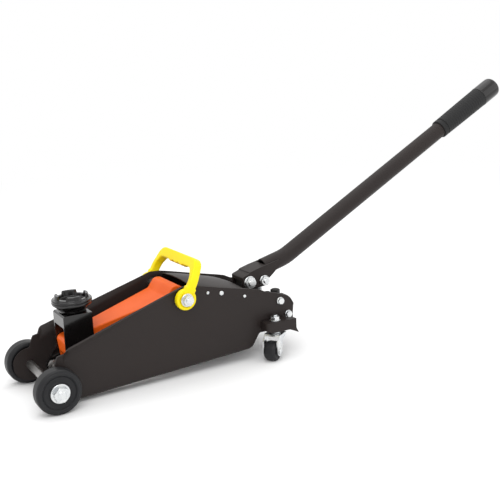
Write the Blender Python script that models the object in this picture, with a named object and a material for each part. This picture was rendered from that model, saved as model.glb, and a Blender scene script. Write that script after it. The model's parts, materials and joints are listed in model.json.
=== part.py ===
"""Hydraulic trolley jack: frame, lift arm, levelled saddle, power unit, pump handle, wheels and casters.

Sizes are in millimetres and are turned into metres where a mesh or a place is made. Points are
written as (x, y, z) with x rearward from the front axle, y across and z up from the floor. The
empty "jack" then moves the whole jack so that the origin is below the middle of its outer box.
"""

import math

import bmesh
import bpy
import numpy as np

MM = 0.001

# Fits
GAP = 0.3  # between pieces that touch
RUN = 0.4  # radial play of a turning fit

# Frame
WEB_Y = 56.0  # outer face of a side plate
SHEET = 3.0
TRACK_IN = WEB_Y + 2.3  # inner face of a front wheel
FLARE = 6.0  # how far the top flange leans out at the front
FLANGE = 10.0  # width of the bottom flange
NOSE_R = 24.0
PEAK = (196.0, 135.0)
TAIL_X = 381.0
TAIL_Z = 41.0  # lower edge of the plates over the casters
TAIL_TOP = 93.5
TAIL_R = 19.0
AXLE_R = 6.0
WHEEL_R = 31.0
WHEEL_W = 22.0
BUSH_R = 9.0

# Lift arm and levelling linkage
ARM = (197.0, 118.0)  # arm shaft
HEAD = (42.0, 58.0)  # pin that carries the saddle bracket
LINK_OFFSET = (-20.0, -21.0)  # from a pin of the arm to the pin of the levelling links
SHAFT_R = 8.0
STUD_R = 5.0
HUB_R = 10.5
ARM_TOP_R = 14.0
ARM_NOSE_HALF = 18.5
ARM_HUB_HALF = 34.0
ARM_TAPER = (76.0, 178.0)
ARM_SLOPE = 0.262
PIN_R = 5.0
LINK_PIN_R = 4.5
LINK_IN, LINK_OUT = 8.0, 13.0
LINK_EYE_R = 8.3
LEVER = 36.0
LEVER_ANGLE = math.radians(45.0)  # behind straight down
LEVER_HALF = 5.0
ROLLER_R = 7.0
LEVER_PIN_R = 4.0

# Saddle
SADDLE_X = 52.25
BRACKET_TOP = 114.0
BRACKET_HALF = ARM_NOSE_HALF + SHEET + 0.4
BRACKET_FRONT, BRACKET_REAR = 31.0, 72.5
LIP_Z = 97.0
SADDLE_R = 28.0
SADDLE_RIM = 132.9
LUG_TOP = 139.0
LUG_GAP = 15.0
SADDLE_STUD_R = 6.0

# Power unit
RAM_R = 10.0
RAM_Z = 87.2
RAM_GAP = 1.3  # between the push head and the lever rollers at rest
PUSH_T = 6.0
YOKE_HALF = 7.0  # half the height of the push head, which leaves room for the lever above it
SPIGOT_R = 5.0  # front end of the ram, in the push head
SPIGOT_START = 2.0
RAM_REACH = 48.0
CYLINDER_R = 22.0
CYLINDER_END = 290.0
NECK_R = 10.0  # joins the cylinder to the base block below the fork's swing
BLOCK_X = 297.3
BLOCK_BOLTS = ((358.5, 85.0), (372.5, 62.0))  # through the side plates into the base block
BLOCK_BOLT_R = 3.0
VALVE_Z = 61.5
SPRING_Y = 30.0
SPRING_R = 5.0
PUMP_X = 352.0
PLUNGER_R = 5.5
BARREL_R = 10.0
BARREL_TOP = 88.0

# Pump handle
PIVOT = (329.0, 110.3)
PUSHER = (355.2, 109.3)
PUSHER_R = 6.0
TUBE_R = 13.5
TUBE_WALL = 2.0
FORK_SHEET = 3.2
FORK_HALF = TUBE_R + GAP + FORK_SHEET
FORK_LIP_Z = 113.8  # lower edge of the fork's front wall, which clears the lug as the handle rises
LUG_R = 7.8  # of the base block, round the pivot
LOW_SLOPE = math.radians(14.0)
HIGH_SLOPE = math.radians(28.2)
BEND = (404.7, 136.5)
BEND_R = 90.0
TUBE_START_X = 366.0
GRIP_START_X = 732.0
GRIP_LENGTH = 143.6
CAP_LENGTH = 38.0
GRIP_R = TUBE_R + 2.5
CAP_R = TUBE_R + 4.0
CAP_END_R = TUBE_R + 2.0
CAP_ROUND = 2.0

# Carry handle
CARRY_LEAN = math.radians(29.0)
BOSS_R = 15.3  # round the arm shaft
BOSS_W = 9.0
CARRY_RISE = 59.0
CARRY_BAR = 15.0
CARRY_DEPTH = 13.0

# Casters
KINGPIN = (342.8, WEB_Y + 9.0)
TRAIL = 12.1
CASTER_TURN = math.radians(212.5)  # direction of the trail of the left caster
CASTER_R = 15.0
CASTER_W = 19.0
LEDGE_Z = 59.0
LEDGE_Y = WEB_Y + 20.0
FORK_TOP = 40.0
FORK_ROOF = 3.0
FORK_CHEEK = 2.5
KINGPIN_R = 4.0
CASTER_PIN_R = 3.0

LOOKS = {
    "frame_paint": ((0.035, 0.029, 0.028), 0.42, 0.1),
    "arm_paint": ((0.83, 0.17, 0.035), 0.4, 0.0),
    "black_gloss": ((0.012, 0.011, 0.012), 0.2, 0.1),
    "zinc": ((0.62, 0.64, 0.65), 0.33, 0.95),
    "steel": ((0.35, 0.35, 0.36), 0.35, 0.95),
    "cast": ((0.05, 0.05, 0.055), 0.6, 0.3),
    "wheel": ((0.02, 0.021, 0.026), 0.5, 0.0),
    "yellow": ((0.93, 0.75, 0.01), 0.35, 0.0),
    "rubber": ((0.028, 0.028, 0.03), 0.65, 0.0),
    "bronze": ((0.45, 0.27, 0.1), 0.4, 0.9),
}

places = {}


def look(name):
    """The shared material of this name, made the first time it is asked for."""
    found = bpy.data.materials.get(name)
    if found:
        return found
    colour, roughness, metallic = LOOKS[name]
    made = bpy.data.materials.new(name)
    made.use_nodes = True
    shader = made.node_tree.nodes["Principled BSDF"]
    shader.inputs["Base Color"].default_value = (*colour, 1.0)
    shader.inputs["Roughness"].default_value = roughness
    shader.inputs["Metallic"].default_value = metallic
    made.diffuse_color = (*colour, 1.0)
    return made


def hub(name, at, parent=None):
    """An empty at a joint's axis."""
    empty = bpy.data.objects.new(name, None)
    bpy.context.scene.collection.objects.link(empty)
    base = places[parent] if parent else (0.0, 0.0, 0.0)
    empty.location = [(a - b) * MM for a, b in zip(at, base)]
    if parent:
        empty.parent = bpy.data.objects[parent]
    places[name] = tuple(at)


def solid(name, shape, finish, parent, cutter=False):
    """An object made from (points, faces), its origin on its parent's axis."""
    points, faces = shape
    points = (np.asarray(points, float) - places[parent]) * MM
    mesh = bpy.data.meshes.new(name)
    mesh.from_pydata(points.tolist(), [], [list(map(int, f)) for f in faces])
    work = bmesh.new()
    work.from_mesh(mesh)
    bmesh.ops.remove_doubles(work, verts=work.verts, dist=1e-7)
    bmesh.ops.recalc_face_normals(work, faces=work.faces)
    work.to_mesh(mesh)
    work.free()
    mesh.shade_smooth()
    mesh.set_sharp_from_angle(angle=math.radians(35))
    made = bpy.data.objects.new(name, mesh)
    bpy.context.scene.collection.objects.link(made)
    made.parent = bpy.data.objects[parent]
    if cutter:
        made.hide_render = True
        made.display_type = "WIRE"
    else:
        mesh.materials.append(look(finish))
    return made


def boolean(target, shape, operation, parent):
    """A live Boolean of a hidden tool on the target."""
    tool = solid(f"{target.name}_tool", shape, None, parent, cutter=True)
    step = target.modifiers.new(operation.lower(), "BOOLEAN")
    step.operation = operation
    step.solver = "EXACT"
    step.object = tool
    return target


def cut(target, shape, parent):
    return boolean(target, shape, "DIFFERENCE", parent)


def add(target, shape, parent):
    return boolean(target, shape, "UNION", parent)


# Shapes ---------------------------------------------------------------------------------------


def loft(rings, closed=False):
    """Rings of equally many points joined by quads, with a flat face on each end unless closed."""
    rings = np.asarray(rings, float)
    count, size = rings.shape[:2]
    faces = []
    for i in range(count if closed else count - 1):
        a, b = i * size, (i + 1) % count * size
        faces += [(a + j, a + (j + 1) % size, b + (j + 1) % size, b + j) for j in range(size)]
    if not closed:
        faces += [tuple(range(size)), tuple(range((count - 1) * size, count * size))[::-1]]
    return rings.reshape(-1, 3), faces


def prism(outline, low, high):
    """An (x, z) outline carried across from y low to y high."""
    return loft([[(x, y, z) for x, z in outline] for y in (low, high)])


def slab(outline, low, high):
    """An (x, y) outline carried up from z low to z high."""
    return loft([[(x, y, z) for x, y in outline] for z in (low, high)])


def box(low, high):
    corners = [(low[0], low[1]), (high[0], low[1]), (high[0], high[1]), (low[0], high[1])]
    return slab(corners, low[2], high[2])


def arc(centre, radius, start, end, steps):
    """Points of an arc from start to end degrees, measured from +x towards the second axis."""
    angles = np.radians(np.linspace(start, end, steps + 1))
    return [(centre[0] + radius * math.cos(a), centre[1] + radius * math.sin(a)) for a in angles]


def ring_radius(half_width, angles):
    """The radius of a hexagon of this half width across flats at each angle."""
    return half_width / np.cos((angles + math.pi / 6) % (math.pi / 3) - math.pi / 6)


def turned(profile, start, axis, segments=16, hollow=False):
    """A profile of (radius, height) stations turned about an axis. A third value makes that station
    a hexagon of that half width. A hollow profile closes on itself round a bore."""
    if any(len(station) == 3 for station in profile):
        segments = 12
    angles = np.arange(segments) * 2 * math.pi / segments
    axis = np.asarray(axis, float) / np.linalg.norm(axis)
    side = np.cross(axis, (0.0, 1.0, 0.0) if abs(axis[1]) < 0.9 else (1.0, 0.0, 0.0))
    side /= np.linalg.norm(side)
    other = np.cross(axis, side)
    rings = []
    for station in profile:
        hexagon = len(station) == 3
        radius = ring_radius(station[0], angles) if hexagon else np.full(segments, station[0])
        around = np.outer(np.cos(angles) * radius, side) + np.outer(np.sin(angles) * radius, other)
        rings.append(around + np.asarray(start, float) + axis * station[1])
    if hollow:
        return loft(rings, closed=True)
    return loft(rings)


def across(profile, x, z, side=1, **more):
    """A profile turned about the y axis through (x, z), its heights measured outward on that side."""
    return turned(profile, (x, 0.0, z), (0.0, side, 0.0), **more)


def bar(x, z, radius, low, high, segments=16):
    return turned([(radius, low), (radius, high)], (x, 0.0, z), (0.0, 1.0, 0.0), segments)


def capsule(a, b, radius_a, radius_b, steps=8):
    """The outline of a bar with round ends of these radii about a and b."""
    along = math.degrees(math.atan2(b[1] - a[1], b[0] - a[0]))
    start = arc(a, radius_a, along + 90, along + 270, steps)
    return start + arc(b, radius_b, along - 90, along + 90, steps)


def shifted(place, offset):
    return place[0] + offset[0], place[1] + offset[1]


def sides():
    return (("left", -1), ("right", 1))


# Frame ----------------------------------------------------------------------------------------


def plate_stations():
    """(x, bottom z, top z, flange lean, flange height) from the nose to the tail of a side plate."""
    stations = []
    for angle in (25, 45, 65, 88):
        dx, dz = NOSE_R * math.cos(math.radians(angle)), NOSE_R * math.sin(math.radians(angle))
        stations.append((-dx, WHEEL_R - dz, WHEEL_R + dz, 0.4, 5.0))
    stations += [(4.0, 6.6, 72.6, 0.4, 5.0), (17.0, 6.0, 75.0, 0.4, 5.0)]
    first = 19.5
    for x in (first, 30.0, 50.0, 80.0, 110.0, 140.0, 170.0, PEAK[0]):
        share = (x - first) / (PEAK[0] - first)
        top = 80.0 + share * (PEAK[1] - 80.0)
        bottom = 4.5 + 0.047 * max(0.0, x - 44.0)
        stations.append((x, bottom, top, FLARE * (1 - share) + 0.8, 12.5 - 8.0 * share))
    stations += [
        (208.0, 12.3, 134.4, 0.8, 4.5),
        (228.0, 13.5, 130.6, 0.8, 4.5),
        (262.0, 15.3, 122.4, 0.8, 4.5),
        (300.0, 17.5, 113.8, 0.8, 4.5),
        (309.0, 21.0, 111.8, 0.8, 4.5),
        (322.0, TAIL_Z - 1.5, 108.6, 0.8, 4.5),
        (333.0, TAIL_Z, 103.0, 0.8, 4.5),
        (352.0, TAIL_Z, 98.0, 0.8, 4.5),
    ]
    for x, z in arc((TAIL_X - TAIL_R, TAIL_TOP - TAIL_R), TAIL_R, 70, 10, 3):
        stations.append((x, TAIL_Z, z, 0.8, 4.5))
    return stations


def thick_line(line, thickness):
    """A closed loop round an open (y, z) line and the same line moved inward by the thickness."""
    line = np.asarray(line, float)
    step = np.diff(line, axis=0)
    step /= np.linalg.norm(step, axis=1)[:, None]
    normal = np.stack([-step[:, 1], step[:, 0]], axis=1)
    inward = np.vstack([normal[:1], normal[:-1] + normal[1:], normal[-1:]])
    inward /= np.linalg.norm(inward, axis=1)[:, None]
    lean = np.hstack([1.0, np.einsum("ij,ij->i", inward[1:-1], normal[1:]), 1.0])
    return np.vstack([line, (line + inward * (thickness / lean)[:, None])[::-1]])


def side_plate(name, side):
    rings = []
    for x, bottom, top, lean, height in plate_stations():
        crease = top - height
        width = FLANGE if x > 30.0 else 5.0
        line = [
            (WEB_Y - width, bottom),
            (WEB_Y - 2.5, bottom),
            (WEB_Y, bottom + 2.5),
            (WEB_Y, crease),
            (WEB_Y + 0.45 * lean, crease + 0.6 * height),
            (WEB_Y + lean, top),
        ]
        rings.append([(x, side * y, z) for y, z in thick_line(line, SHEET)])
    plate = solid(name, loft(rings), "frame_paint", "jack")
    for (x, z), radius in (
        ((0.0, WHEEL_R), AXLE_R + GAP),
        (ARM, SHAFT_R + GAP),
        *((place, BLOCK_BOLT_R + GAP) for place in BLOCK_BOLTS),
    ):
        ends = sorted((side * (WEB_Y - 20.0), side * (WEB_Y + 20.0)))
        cut(plate, bar(x, z, radius, *ends), "jack")


def front_end():
    outer = TRACK_IN + WHEEL_W
    half = outer + 10.0
    solid("front_axle", bar(0.0, WHEEL_R, AXLE_R, -half, half), "steel", "jack")
    bush = BUSH_R - GAP
    for name, side in sides():
        hub(f"front_wheel_{name}_axis", (0.0, side * (TRACK_IN + WHEEL_W / 2), WHEEL_R), "jack")
        parent = f"front_wheel_{name}_axis"
        rim, width = WHEEL_R, WHEEL_W
        profile = [
            (BUSH_R, 0.0), (rim - 3.0, 0.0), (rim - 0.8, 0.8), (rim, 2.6), (rim, width - 2.6),
            (rim - 0.8, width - 0.8), (rim - 3.0, width), (24.0, width), (22.5, width - 1.6),
            (15.5, width - 1.6), (14.5, width - 0.4), (BUSH_R, width - 0.4),
        ]
        placed = [(radius, TRACK_IN + height) for radius, height in profile]
        shape = across(placed, 0.0, WHEEL_R, side, segments=32, hollow=True)
        solid(f"front_wheel_{name}", shape, "wheel", parent)
        bore = AXLE_R + GAP
        low, high = TRACK_IN - 0.5, outer + 0.2
        ring = [(bore, low), (bush, low), (bush, high), (bore, high)]
        solid(f"wheel_bush_{name}", across(ring, 0.0, WHEEL_R, side, hollow=True), "bronze", parent)
        nut = flange_nut(AXLE_R + GAP, 13.3, 9.5, outer + 0.5, 8.0)
        solid(f"axle_nut_{name}", across(nut, 0.0, WHEEL_R, side, hollow=True), "zinc", "jack")


def flange_nut(bore, flange, half, start, height):
    """The closed profile of a hexagon nut with a flange, from start outward."""
    return [
        (bore, start), (flange, start), (flange, start + 1.2), (half + 1.2, start + 1.9),
        (half, start + 2.0, "hexagon"), (half, start + height - 0.8, "hexagon"),
        (half - 0.6, start + height), (bore, start + height),
    ]


def arm_shaft():
    solid_end = WEB_Y + 1.0
    stud_end = WEB_Y + GAP * 2 + BOSS_W + 9.5
    profile = [
        (STUD_R, -stud_end), (STUD_R, -solid_end), (SHAFT_R, -solid_end),
        (SHAFT_R, solid_end), (STUD_R, solid_end), (STUD_R, stud_end),
    ]
    solid("arm_shaft", across(profile, *ARM), "steel", "jack")
    for name, side in sides():
        nut = flange_nut(STUD_R + GAP, 9.6, 7.2, WEB_Y + 1.3 + BOSS_W + GAP, 7.0)
        solid(f"arm_shaft_nut_{name}", across(nut, *ARM, side, hollow=True), "zinc", "jack")
    anchor = shifted(ARM, LINK_OFFSET)
    inner = WEB_Y - SHEET - GAP
    solid("link_anchor_shaft", bar(*anchor, LINK_PIN_R, -inner, inner), "steel", "jack")


def cover_height(x):
    """The crown line of the top cover, just above the top edges of the side plates."""
    stations = (213.0, 228.0, 262.0, 290.0, 303.0, 312.0)
    heights = (135.5, 133.5, 125.0, 118.0, 113.5, 106.0)
    return float(np.interp(x, stations, heights))


def top_cover():
    rings = []
    half = WEB_Y - SHEET - 0.8
    for x in (213.0, 221.0, 232.0, 246.0, 262.0, 278.0, 290.0, 298.0, 305.0, 312.0):
        top = cover_height(x)
        line = [(-half, top - 15.0), (-half, top - 8.0), (-half + 4.0, top - 4.0)]
        line += [(y, top - 3.0 * (y / (half - 8.0)) ** 2) for y in np.linspace(8.0 - half, half - 8.0, 9)]
        line += [(half - 4.0, top - 4.0), (half, top - 8.0), (half, top - 15.0)]
        loop = thick_line(line[::-1], 1.8)
        rings.append([(x, y, z) for y, z in loop])
    solid("top_cover", loft(rings), "frame_paint", "jack")


# Lift arm -------------------------------------------------------------------------------------


def arm_top(x):
    return 80.5 + ARM_SLOPE * (x - 39.0)


def arm_half(x):
    """Half the arm's width, which grows evenly between the two ends of its taper."""
    share = (x - ARM_TAPER[0]) / (ARM_TAPER[1] - ARM_TAPER[0])
    return ARM_NOSE_HALF + (ARM_HUB_HALF - ARM_NOSE_HALF) * min(max(share, 0.0), 1.0)


def narrowed(target, inset, parent):
    """Keeps what lies inside the plan of the arm less the inset."""
    edge = [(x, arm_half(x) - inset) for x in (-20.0, *ARM_TAPER, 260.0)]
    plan = [(x, -y) for x, y in edge] + edge[::-1]
    return boolean(target, slab(plan, -20.0, 200.0), "INTERSECT", parent)


def lift_arm():
    hub("lift_arm_axis", (ARM[0], 0.0, ARM[1]), "jack")
    parent = "lift_arm_axis"
    wall = SHEET
    crest = arc(ARM, ARM_TOP_R, 121, 62, 6)
    foot = arc(HEAD, 12.0, 300, 225, 5)
    slope_top = [(x, arm_top(x)) for x in (33.5, 39.0, 181.0)]
    outline = slope_top + crest + arc(ARM, ARM_TOP_R, 40, -110, 10)
    outline += [(178.0, 105.5), (165.0, 100.0), *foot, (31.0, 76.0)]
    across_all = ARM_HUB_HALF + 10.0
    arm = solid("lift_arm", prism(outline, -across_all, across_all), "arm_paint", parent)
    narrowed(arm, 0.0, parent)
    inside = [(37.0, arm_top(37.0) - wall), (39.0, arm_top(39.0) - wall), (181.0, arm_top(181.0) - wall)]
    inside += arc(ARM, HUB_R + GAP, 185, 62, 8) + [(230.0, 130.0), (230.0, 60.0), (150.0, 20.0)]
    inside += [(39.0, 20.0), (20.0, 20.0), (20.0, 55.0), (41.5, 55.0)]
    room = solid("lift_arm_room", prism(inside, -across_all, across_all), None, parent, cutter=True)
    narrowed(room, wall, parent)
    hollow = arm.modifiers.new("hollow", "BOOLEAN")
    hollow.operation = "DIFFERENCE"
    hollow.solver = "EXACT"
    hollow.object = room
    for place, radius in ((ARM, SHAFT_R + RUN), (HEAD, PIN_R + GAP)):
        cut(arm, bar(*place, radius, -60.0, 60.0), parent)
    half = ARM_HUB_HALF - wall - GAP
    tube = [(SHAFT_R + RUN, -half), (HUB_R, -half), (HUB_R, half), (SHAFT_R + RUN, half)]
    lever = solid("arm_hub_lever", across(tube, *ARM, hollow=True, segments=24), "cast", parent)
    tip = (ARM[0] + LEVER * math.sin(LEVER_ANGLE), ARM[1] - LEVER * math.cos(LEVER_ANGLE))
    blade = capsule(ARM, tip, ROLLER_R - 0.7, ROLLER_R - 0.7)
    add(lever, prism(blade, -LEVER_HALF, LEVER_HALF), parent)
    cut(lever, bar(*ARM, SHAFT_R + RUN, -60.0, 60.0), parent)
    cut(lever, bar(*tip, LEVER_PIN_R + GAP, -20.0, 20.0, 16), parent)
    pin_half = LEVER_HALF + 9.0
    solid("lever_pin", bar(*tip, LEVER_PIN_R, -pin_half, pin_half, 16), "steel", parent)
    for name, side in sides():
        low, high = LEVER_HALF + GAP, LEVER_HALF + 7.5
        ring = [(LEVER_PIN_R + GAP, low), (ROLLER_R, low), (ROLLER_R, high), (LEVER_PIN_R + GAP, high)]
        solid(f"lever_roller_{name}", across(ring, *tip, side, hollow=True), "steel", parent)
    reach = BRACKET_HALF + 2.2
    solid("saddle_pin", across(riveted(PIN_R, reach), *HEAD), "steel", parent)
    return tip


def riveted(radius, reach):
    """The profile of a pin through the saddle bracket, with a flat head outside each cheek."""
    start = BRACKET_HALF + GAP
    profile = [(radius + 1.6, -reach), (radius + 1.6, -start), (radius, -start)]
    return profile + [(r, -h) for r, h in profile[::-1]]


def saddle_group():
    hub("bracket_axis", (HEAD[0], 0.0, HEAD[1]), "lift_arm_axis")
    parent = "bracket_axis"
    low_pin = shifted(HEAD, LINK_OFFSET)
    outline = [(BRACKET_FRONT, BRACKET_TOP - 2.0), (BRACKET_FRONT + 2.0, BRACKET_TOP)]
    outline += [(BRACKET_REAR, BRACKET_TOP), (BRACKET_REAR, 76.0), (58.0, 50.0)]
    outline += arc(low_pin, 8.8, -50, -205, 10) + [(BRACKET_FRONT, 63.0)]
    bracket = solid("saddle_bracket", prism(outline, -BRACKET_HALF, BRACKET_HALF), "black_gloss", parent)
    top = BRACKET_TOP - SHEET
    inner = BRACKET_HALF - SHEET
    hollow = [(BRACKET_FRONT + SHEET, top), (90.0, top), (90.0, 0.0), (-10.0, 0.0)]
    hollow += [(-10.0, LIP_Z), (BRACKET_FRONT + SHEET, LIP_Z)]
    cut(bracket, prism(hollow, -inner, inner), parent)
    cut(bracket, bar(*HEAD, PIN_R + GAP, -40.0, 40.0), parent)
    cut(bracket, bar(*low_pin, LINK_PIN_R + GAP, -40.0, 40.0), parent)
    bore = SADDLE_STUD_R + RUN
    shaft = turned([(bore, 90.0), (bore, 130.0)], (SADDLE_X, 0.0, 0.0), (0, 0, 1))
    cut(bracket, shaft, parent)
    reach = BRACKET_HALF + 1.8
    solid("link_pin", across(riveted(LINK_PIN_R, reach), *low_pin), "zinc", parent)

    hub("saddle_axis", (SADDLE_X, 0.0, BRACKET_TOP), "bracket_axis")
    parent = "saddle_axis"
    seat = BRACKET_TOP + GAP
    clip_top = BRACKET_TOP - SHEET - GAP
    profile = [
        (SADDLE_STUD_R - 1.0, clip_top - 5.0), (SADDLE_STUD_R - 1.0, seat - GAP - SHEET - GAP),
        (SADDLE_STUD_R, clip_top), (SADDLE_STUD_R, seat), (19.0, seat), (19.5, seat + 3.0),
        (25.8, SADDLE_RIM - 8.6), (SADDLE_R, SADDLE_RIM - 6.8), (SADDLE_R, SADDLE_RIM - 0.8),
        (SADDLE_R - 0.8, SADDLE_RIM), (24.6, SADDLE_RIM), (23.6, SADDLE_RIM + 1.0), (23.0, LUG_TOP),
        (19.4, LUG_TOP), (18.6, SADDLE_RIM - 2.4), (9.0, SADDLE_RIM - 2.9),
    ]
    saddle = solid("saddle", turned(profile, (SADDLE_X, 0, 0), (0, 0, 1), 32), "black_gloss", parent)
    for turn in (35.0, 125.0):
        c, s = math.cos(math.radians(turn)), math.sin(math.radians(turn))
        corners = [(-60, -LUG_GAP / 2), (60, -LUG_GAP / 2), (60, LUG_GAP / 2), (-60, LUG_GAP / 2)]
        outline = [(SADDLE_X + u * c - v * s, u * s + v * c) for u, v in corners]
        cut(saddle, slab(outline, SADDLE_RIM + 1.6, LUG_TOP + 5.0), parent)
    bore = SADDLE_STUD_R - 1.0 + GAP
    low, high = clip_top - 2.2, clip_top - 0.2
    ring = [(bore, low), (11.0, low), (11.0, high), (bore, high)]
    solid("saddle_clip", turned(ring, (SADDLE_X, 0, 0), (0, 0, 1), hollow=True), "zinc", parent)


def levelling_links():
    anchor = shifted(ARM, LINK_OFFSET)
    front = shifted(HEAD, LINK_OFFSET)
    hub("link_axis", (anchor[0], 0.0, anchor[1]), "jack")
    along = np.subtract(anchor, front) / np.hypot(*np.subtract(anchor, front))
    angle = math.degrees(math.atan2(along[1], along[0]))
    for name, side in sides():
        outline = arc(front, LINK_EYE_R, angle + 40, angle + 320, 10)
        outline += arc(anchor, LINK_EYE_R, angle - 140, angle + 140, 10)
        ends = sorted((side * LINK_IN, side * LINK_OUT))
        link = solid(f"link_bar_{name}", prism(outline, *ends), "steel", "link_axis")
        for place in (front, anchor):
            cut(link, bar(*place, LINK_PIN_R + RUN, -30.0, 30.0, 20), "link_axis")


# Power unit -----------------------------------------------------------------------------------


def power_unit(tip):
    face = tip[0] + ROLLER_R + RAM_GAP
    hub("ram_axis", (face, 0.0, RAM_Z), "jack")
    head = turned([(14.0, 0.0), (14.0, PUSH_T)], (face, 0, RAM_Z), (1, 0, 0))
    push = solid("push_head", head, "cast", "ram_axis")
    yoke = SPRING_Y + SPRING_R + 1.0
    low = (face + 0.5, -yoke, RAM_Z - YOKE_HALF)
    high = (face + PUSH_T - 0.5, yoke, RAM_Z + YOKE_HALF)
    add(push, box(low, high), "ram_axis")
    ledge = RAM_Z + YOKE_HALF - 0.1
    room = [(face - 1.0, ledge - 4.0), (face + 3.0, ledge), (face + 20.0, ledge)]
    room += [(face + 20.0, ledge + 20.0), (face - 1.0, ledge + 20.0)]
    cut(push, prism(room, -yoke - 5.0, yoke + 5.0), "ram_axis")
    socket = [(SPIGOT_R + GAP, SPIGOT_START), (SPIGOT_R + GAP, 20.0)]
    cut(push, turned(socket, (face, 0, RAM_Z), (1, 0, 0)), "ram_axis")
    back = PUSH_T + GAP
    profile = [(SPIGOT_R, SPIGOT_START + GAP), (SPIGOT_R, back), (RAM_R, back), (RAM_R, back + RAM_REACH)]
    solid("ram", turned(profile, (face, 0, RAM_Z), (1, 0, 0)), "steel", "ram_axis")

    start = face + PUSH_T + 4.0
    length = CYLINDER_END - start
    bore = RAM_R + GAP
    profile = [
        (bore, 0.0), (16.0, 0.0), (16.0, 5.0), (CYLINDER_R, 6.0), (CYLINDER_R, length),
        (2.0, length), (2.0, length - 4.0), (bore, length - 4.0),
    ]
    shape = turned(profile, (start, 0, RAM_Z), (1, 0, 0), 32, hollow=True)
    solid("cylinder", shape, "cast", "jack")

    block = solid("base_block", box((BLOCK_X, -27, 46), (366.0, 27, 76.0)), "cast", "jack")
    add(block, box((BLOCK_X, -27, 60), (341.0, 27, 89.0)), "jack")
    neck = turned([(NECK_R, CYLINDER_END + GAP), (NECK_R, BLOCK_X + 1.0)], (0, 0, RAM_Z), (1, 0, 0))
    add(block, neck, "jack")
    beam = WEB_Y - SHEET - GAP  # half the width of the cross beam between the side plates
    add(block, box((340.0, -beam, 50), (379.0, beam, 73.0)), "jack")
    for _, side in sides():
        low, high = sorted((side * (beam - 13.0), side * (beam - 0.01)))
        add(block, box((354.0, low, 60.0), (372.0, high, 91.5)), "jack")
        low, high = sorted((side * 21.0, side * (SPRING_Y + 8.0)))
        add(block, box((BLOCK_X + 0.01, low, 78.0), (BLOCK_X + 9.0, high, 95.0)), "jack")
    lug = [(321.5, 88.0), (341.0, 88.0), *arc(PIVOT, LUG_R, -10, 190, 8)]
    add(block, prism(lug, -12.0, 12.0), "jack")
    add(block, box((346.0, -36.0, 65.0), (376.0, -19.0, 82.0)), "jack")
    cut(block, bar(*PIVOT, STUD_R + GAP, -30, 30, 16), "jack")
    well = PLUNGER_R + GAP
    cut(block, turned([(well, 54.0), (well, 90.0)], (PUMP_X, 0, 0), (0, 0, 1)), "jack")
    valve = turned([(6.0 + GAP, 364.0), (6.0 + GAP, 390.0)], (0, 0, VALVE_Z), (1, 0, 0))
    cut(block, valve, "jack")
    for x, z in BLOCK_BOLTS:
        for _, side in sides():
            ends = sorted((side * (beam - 10.0), side * (beam + 9.0)))
            cut(block, bar(x, z, BLOCK_BOLT_R + GAP, *ends, 16), "jack")

    seat = 76.0 + GAP
    barrel = [(well, seat), (BARREL_R, seat), (BARREL_R, 84.0), (8.5, BARREL_TOP), (well, BARREL_TOP)]
    solid("pump_barrel", turned(barrel, (PUMP_X, 0, 0), (0, 0, 1), hollow=True), "zinc", "jack")
    for row, (x, z) in zip(("front", "rear"), BLOCK_BOLTS):
        for name, side in sides():
            profile = [
                (BLOCK_BOLT_R, beam - 9.0), (BLOCK_BOLT_R, WEB_Y + GAP), (5.8, WEB_Y + GAP),
                (5.8, WEB_Y + 1.2), (4.6, WEB_Y + 1.3, "hexagon"), (4.6, WEB_Y + 4.2, "hexagon"),
                (4.0, WEB_Y + 4.8),
            ]
            solid(f"block_bolt_{name}_{row}", across(profile, x, z, side), "zinc", "jack")
    for name, side in sides():
        ends = [(SPRING_R, face + PUSH_T - 0.5 + GAP), (SPRING_R, BLOCK_X - GAP)]
        coil = turned(ends, (0, side * SPRING_Y, RAM_Z), (1, 0, 0), 16)
        solid(f"return_spring_{name}", coil, "zinc", "jack")

    top = 82.0 + GAP
    cap = [(7.5, top), (7.5, top + 1.5), (6.5, top + 1.6, "hexagon"), (6.5, top + 12.6, "hexagon")]
    cap.append((5.4, top + 13.6))
    solid("relief_valve_cap", turned(cap, (368.0, -27.5, 0), (0, 0, 1)), "zinc", "jack")
    plug = [(6.0, top), (6.0, top + 3.0), (4.0, top + 4.0), (4.0, top + 9.0), (5.2, top + 10.0)]
    plug.append((4.4, top + 11.5))
    solid("filler_plug", turned(plug, (353.5, -27.5, 0), (0, 0, 1)), "rubber", "jack")
    hub("release_valve_axis", (379.0, 0.0, VALVE_Z), "jack")
    stem = [
        (6.0, 366.0), (6.0, 379.5), (8.0, 379.5), (8.0, 382.0), (6.0, 383.0, "hexagon"),
        (6.0, 394.0, "hexagon"), (5.0, 395.0),
    ]
    solid("release_valve", turned(stem, (0, 0, VALVE_Z), (1, 0, 0)), "zinc", "release_valve_axis")

    hub("plunger_axis", (PUMP_X, 0.0, BARREL_TOP), "jack")
    head_top = PUSHER[1] - PUSHER_R - 0.4
    profile = [(PLUNGER_R, 56.0), (PLUNGER_R, head_top - 4.0), (8.5, head_top - 4.0), (8.5, head_top)]
    solid("pump_plunger", turned(profile, (PUMP_X, 0, 0), (0, 0, 1)), "steel", "plunger_axis")
    low, high = BARREL_TOP + GAP, head_top - 4.0 - GAP
    ring = [(PLUNGER_R + GAP, low), (8.2, low), (8.2, high), (PLUNGER_R + GAP, high)]
    solid("plunger_spring", turned(ring, (PUMP_X, 0, 0), (0, 0, 1), hollow=True), "zinc", "plunger_axis")


# Pump handle ----------------------------------------------------------------------------------


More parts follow.
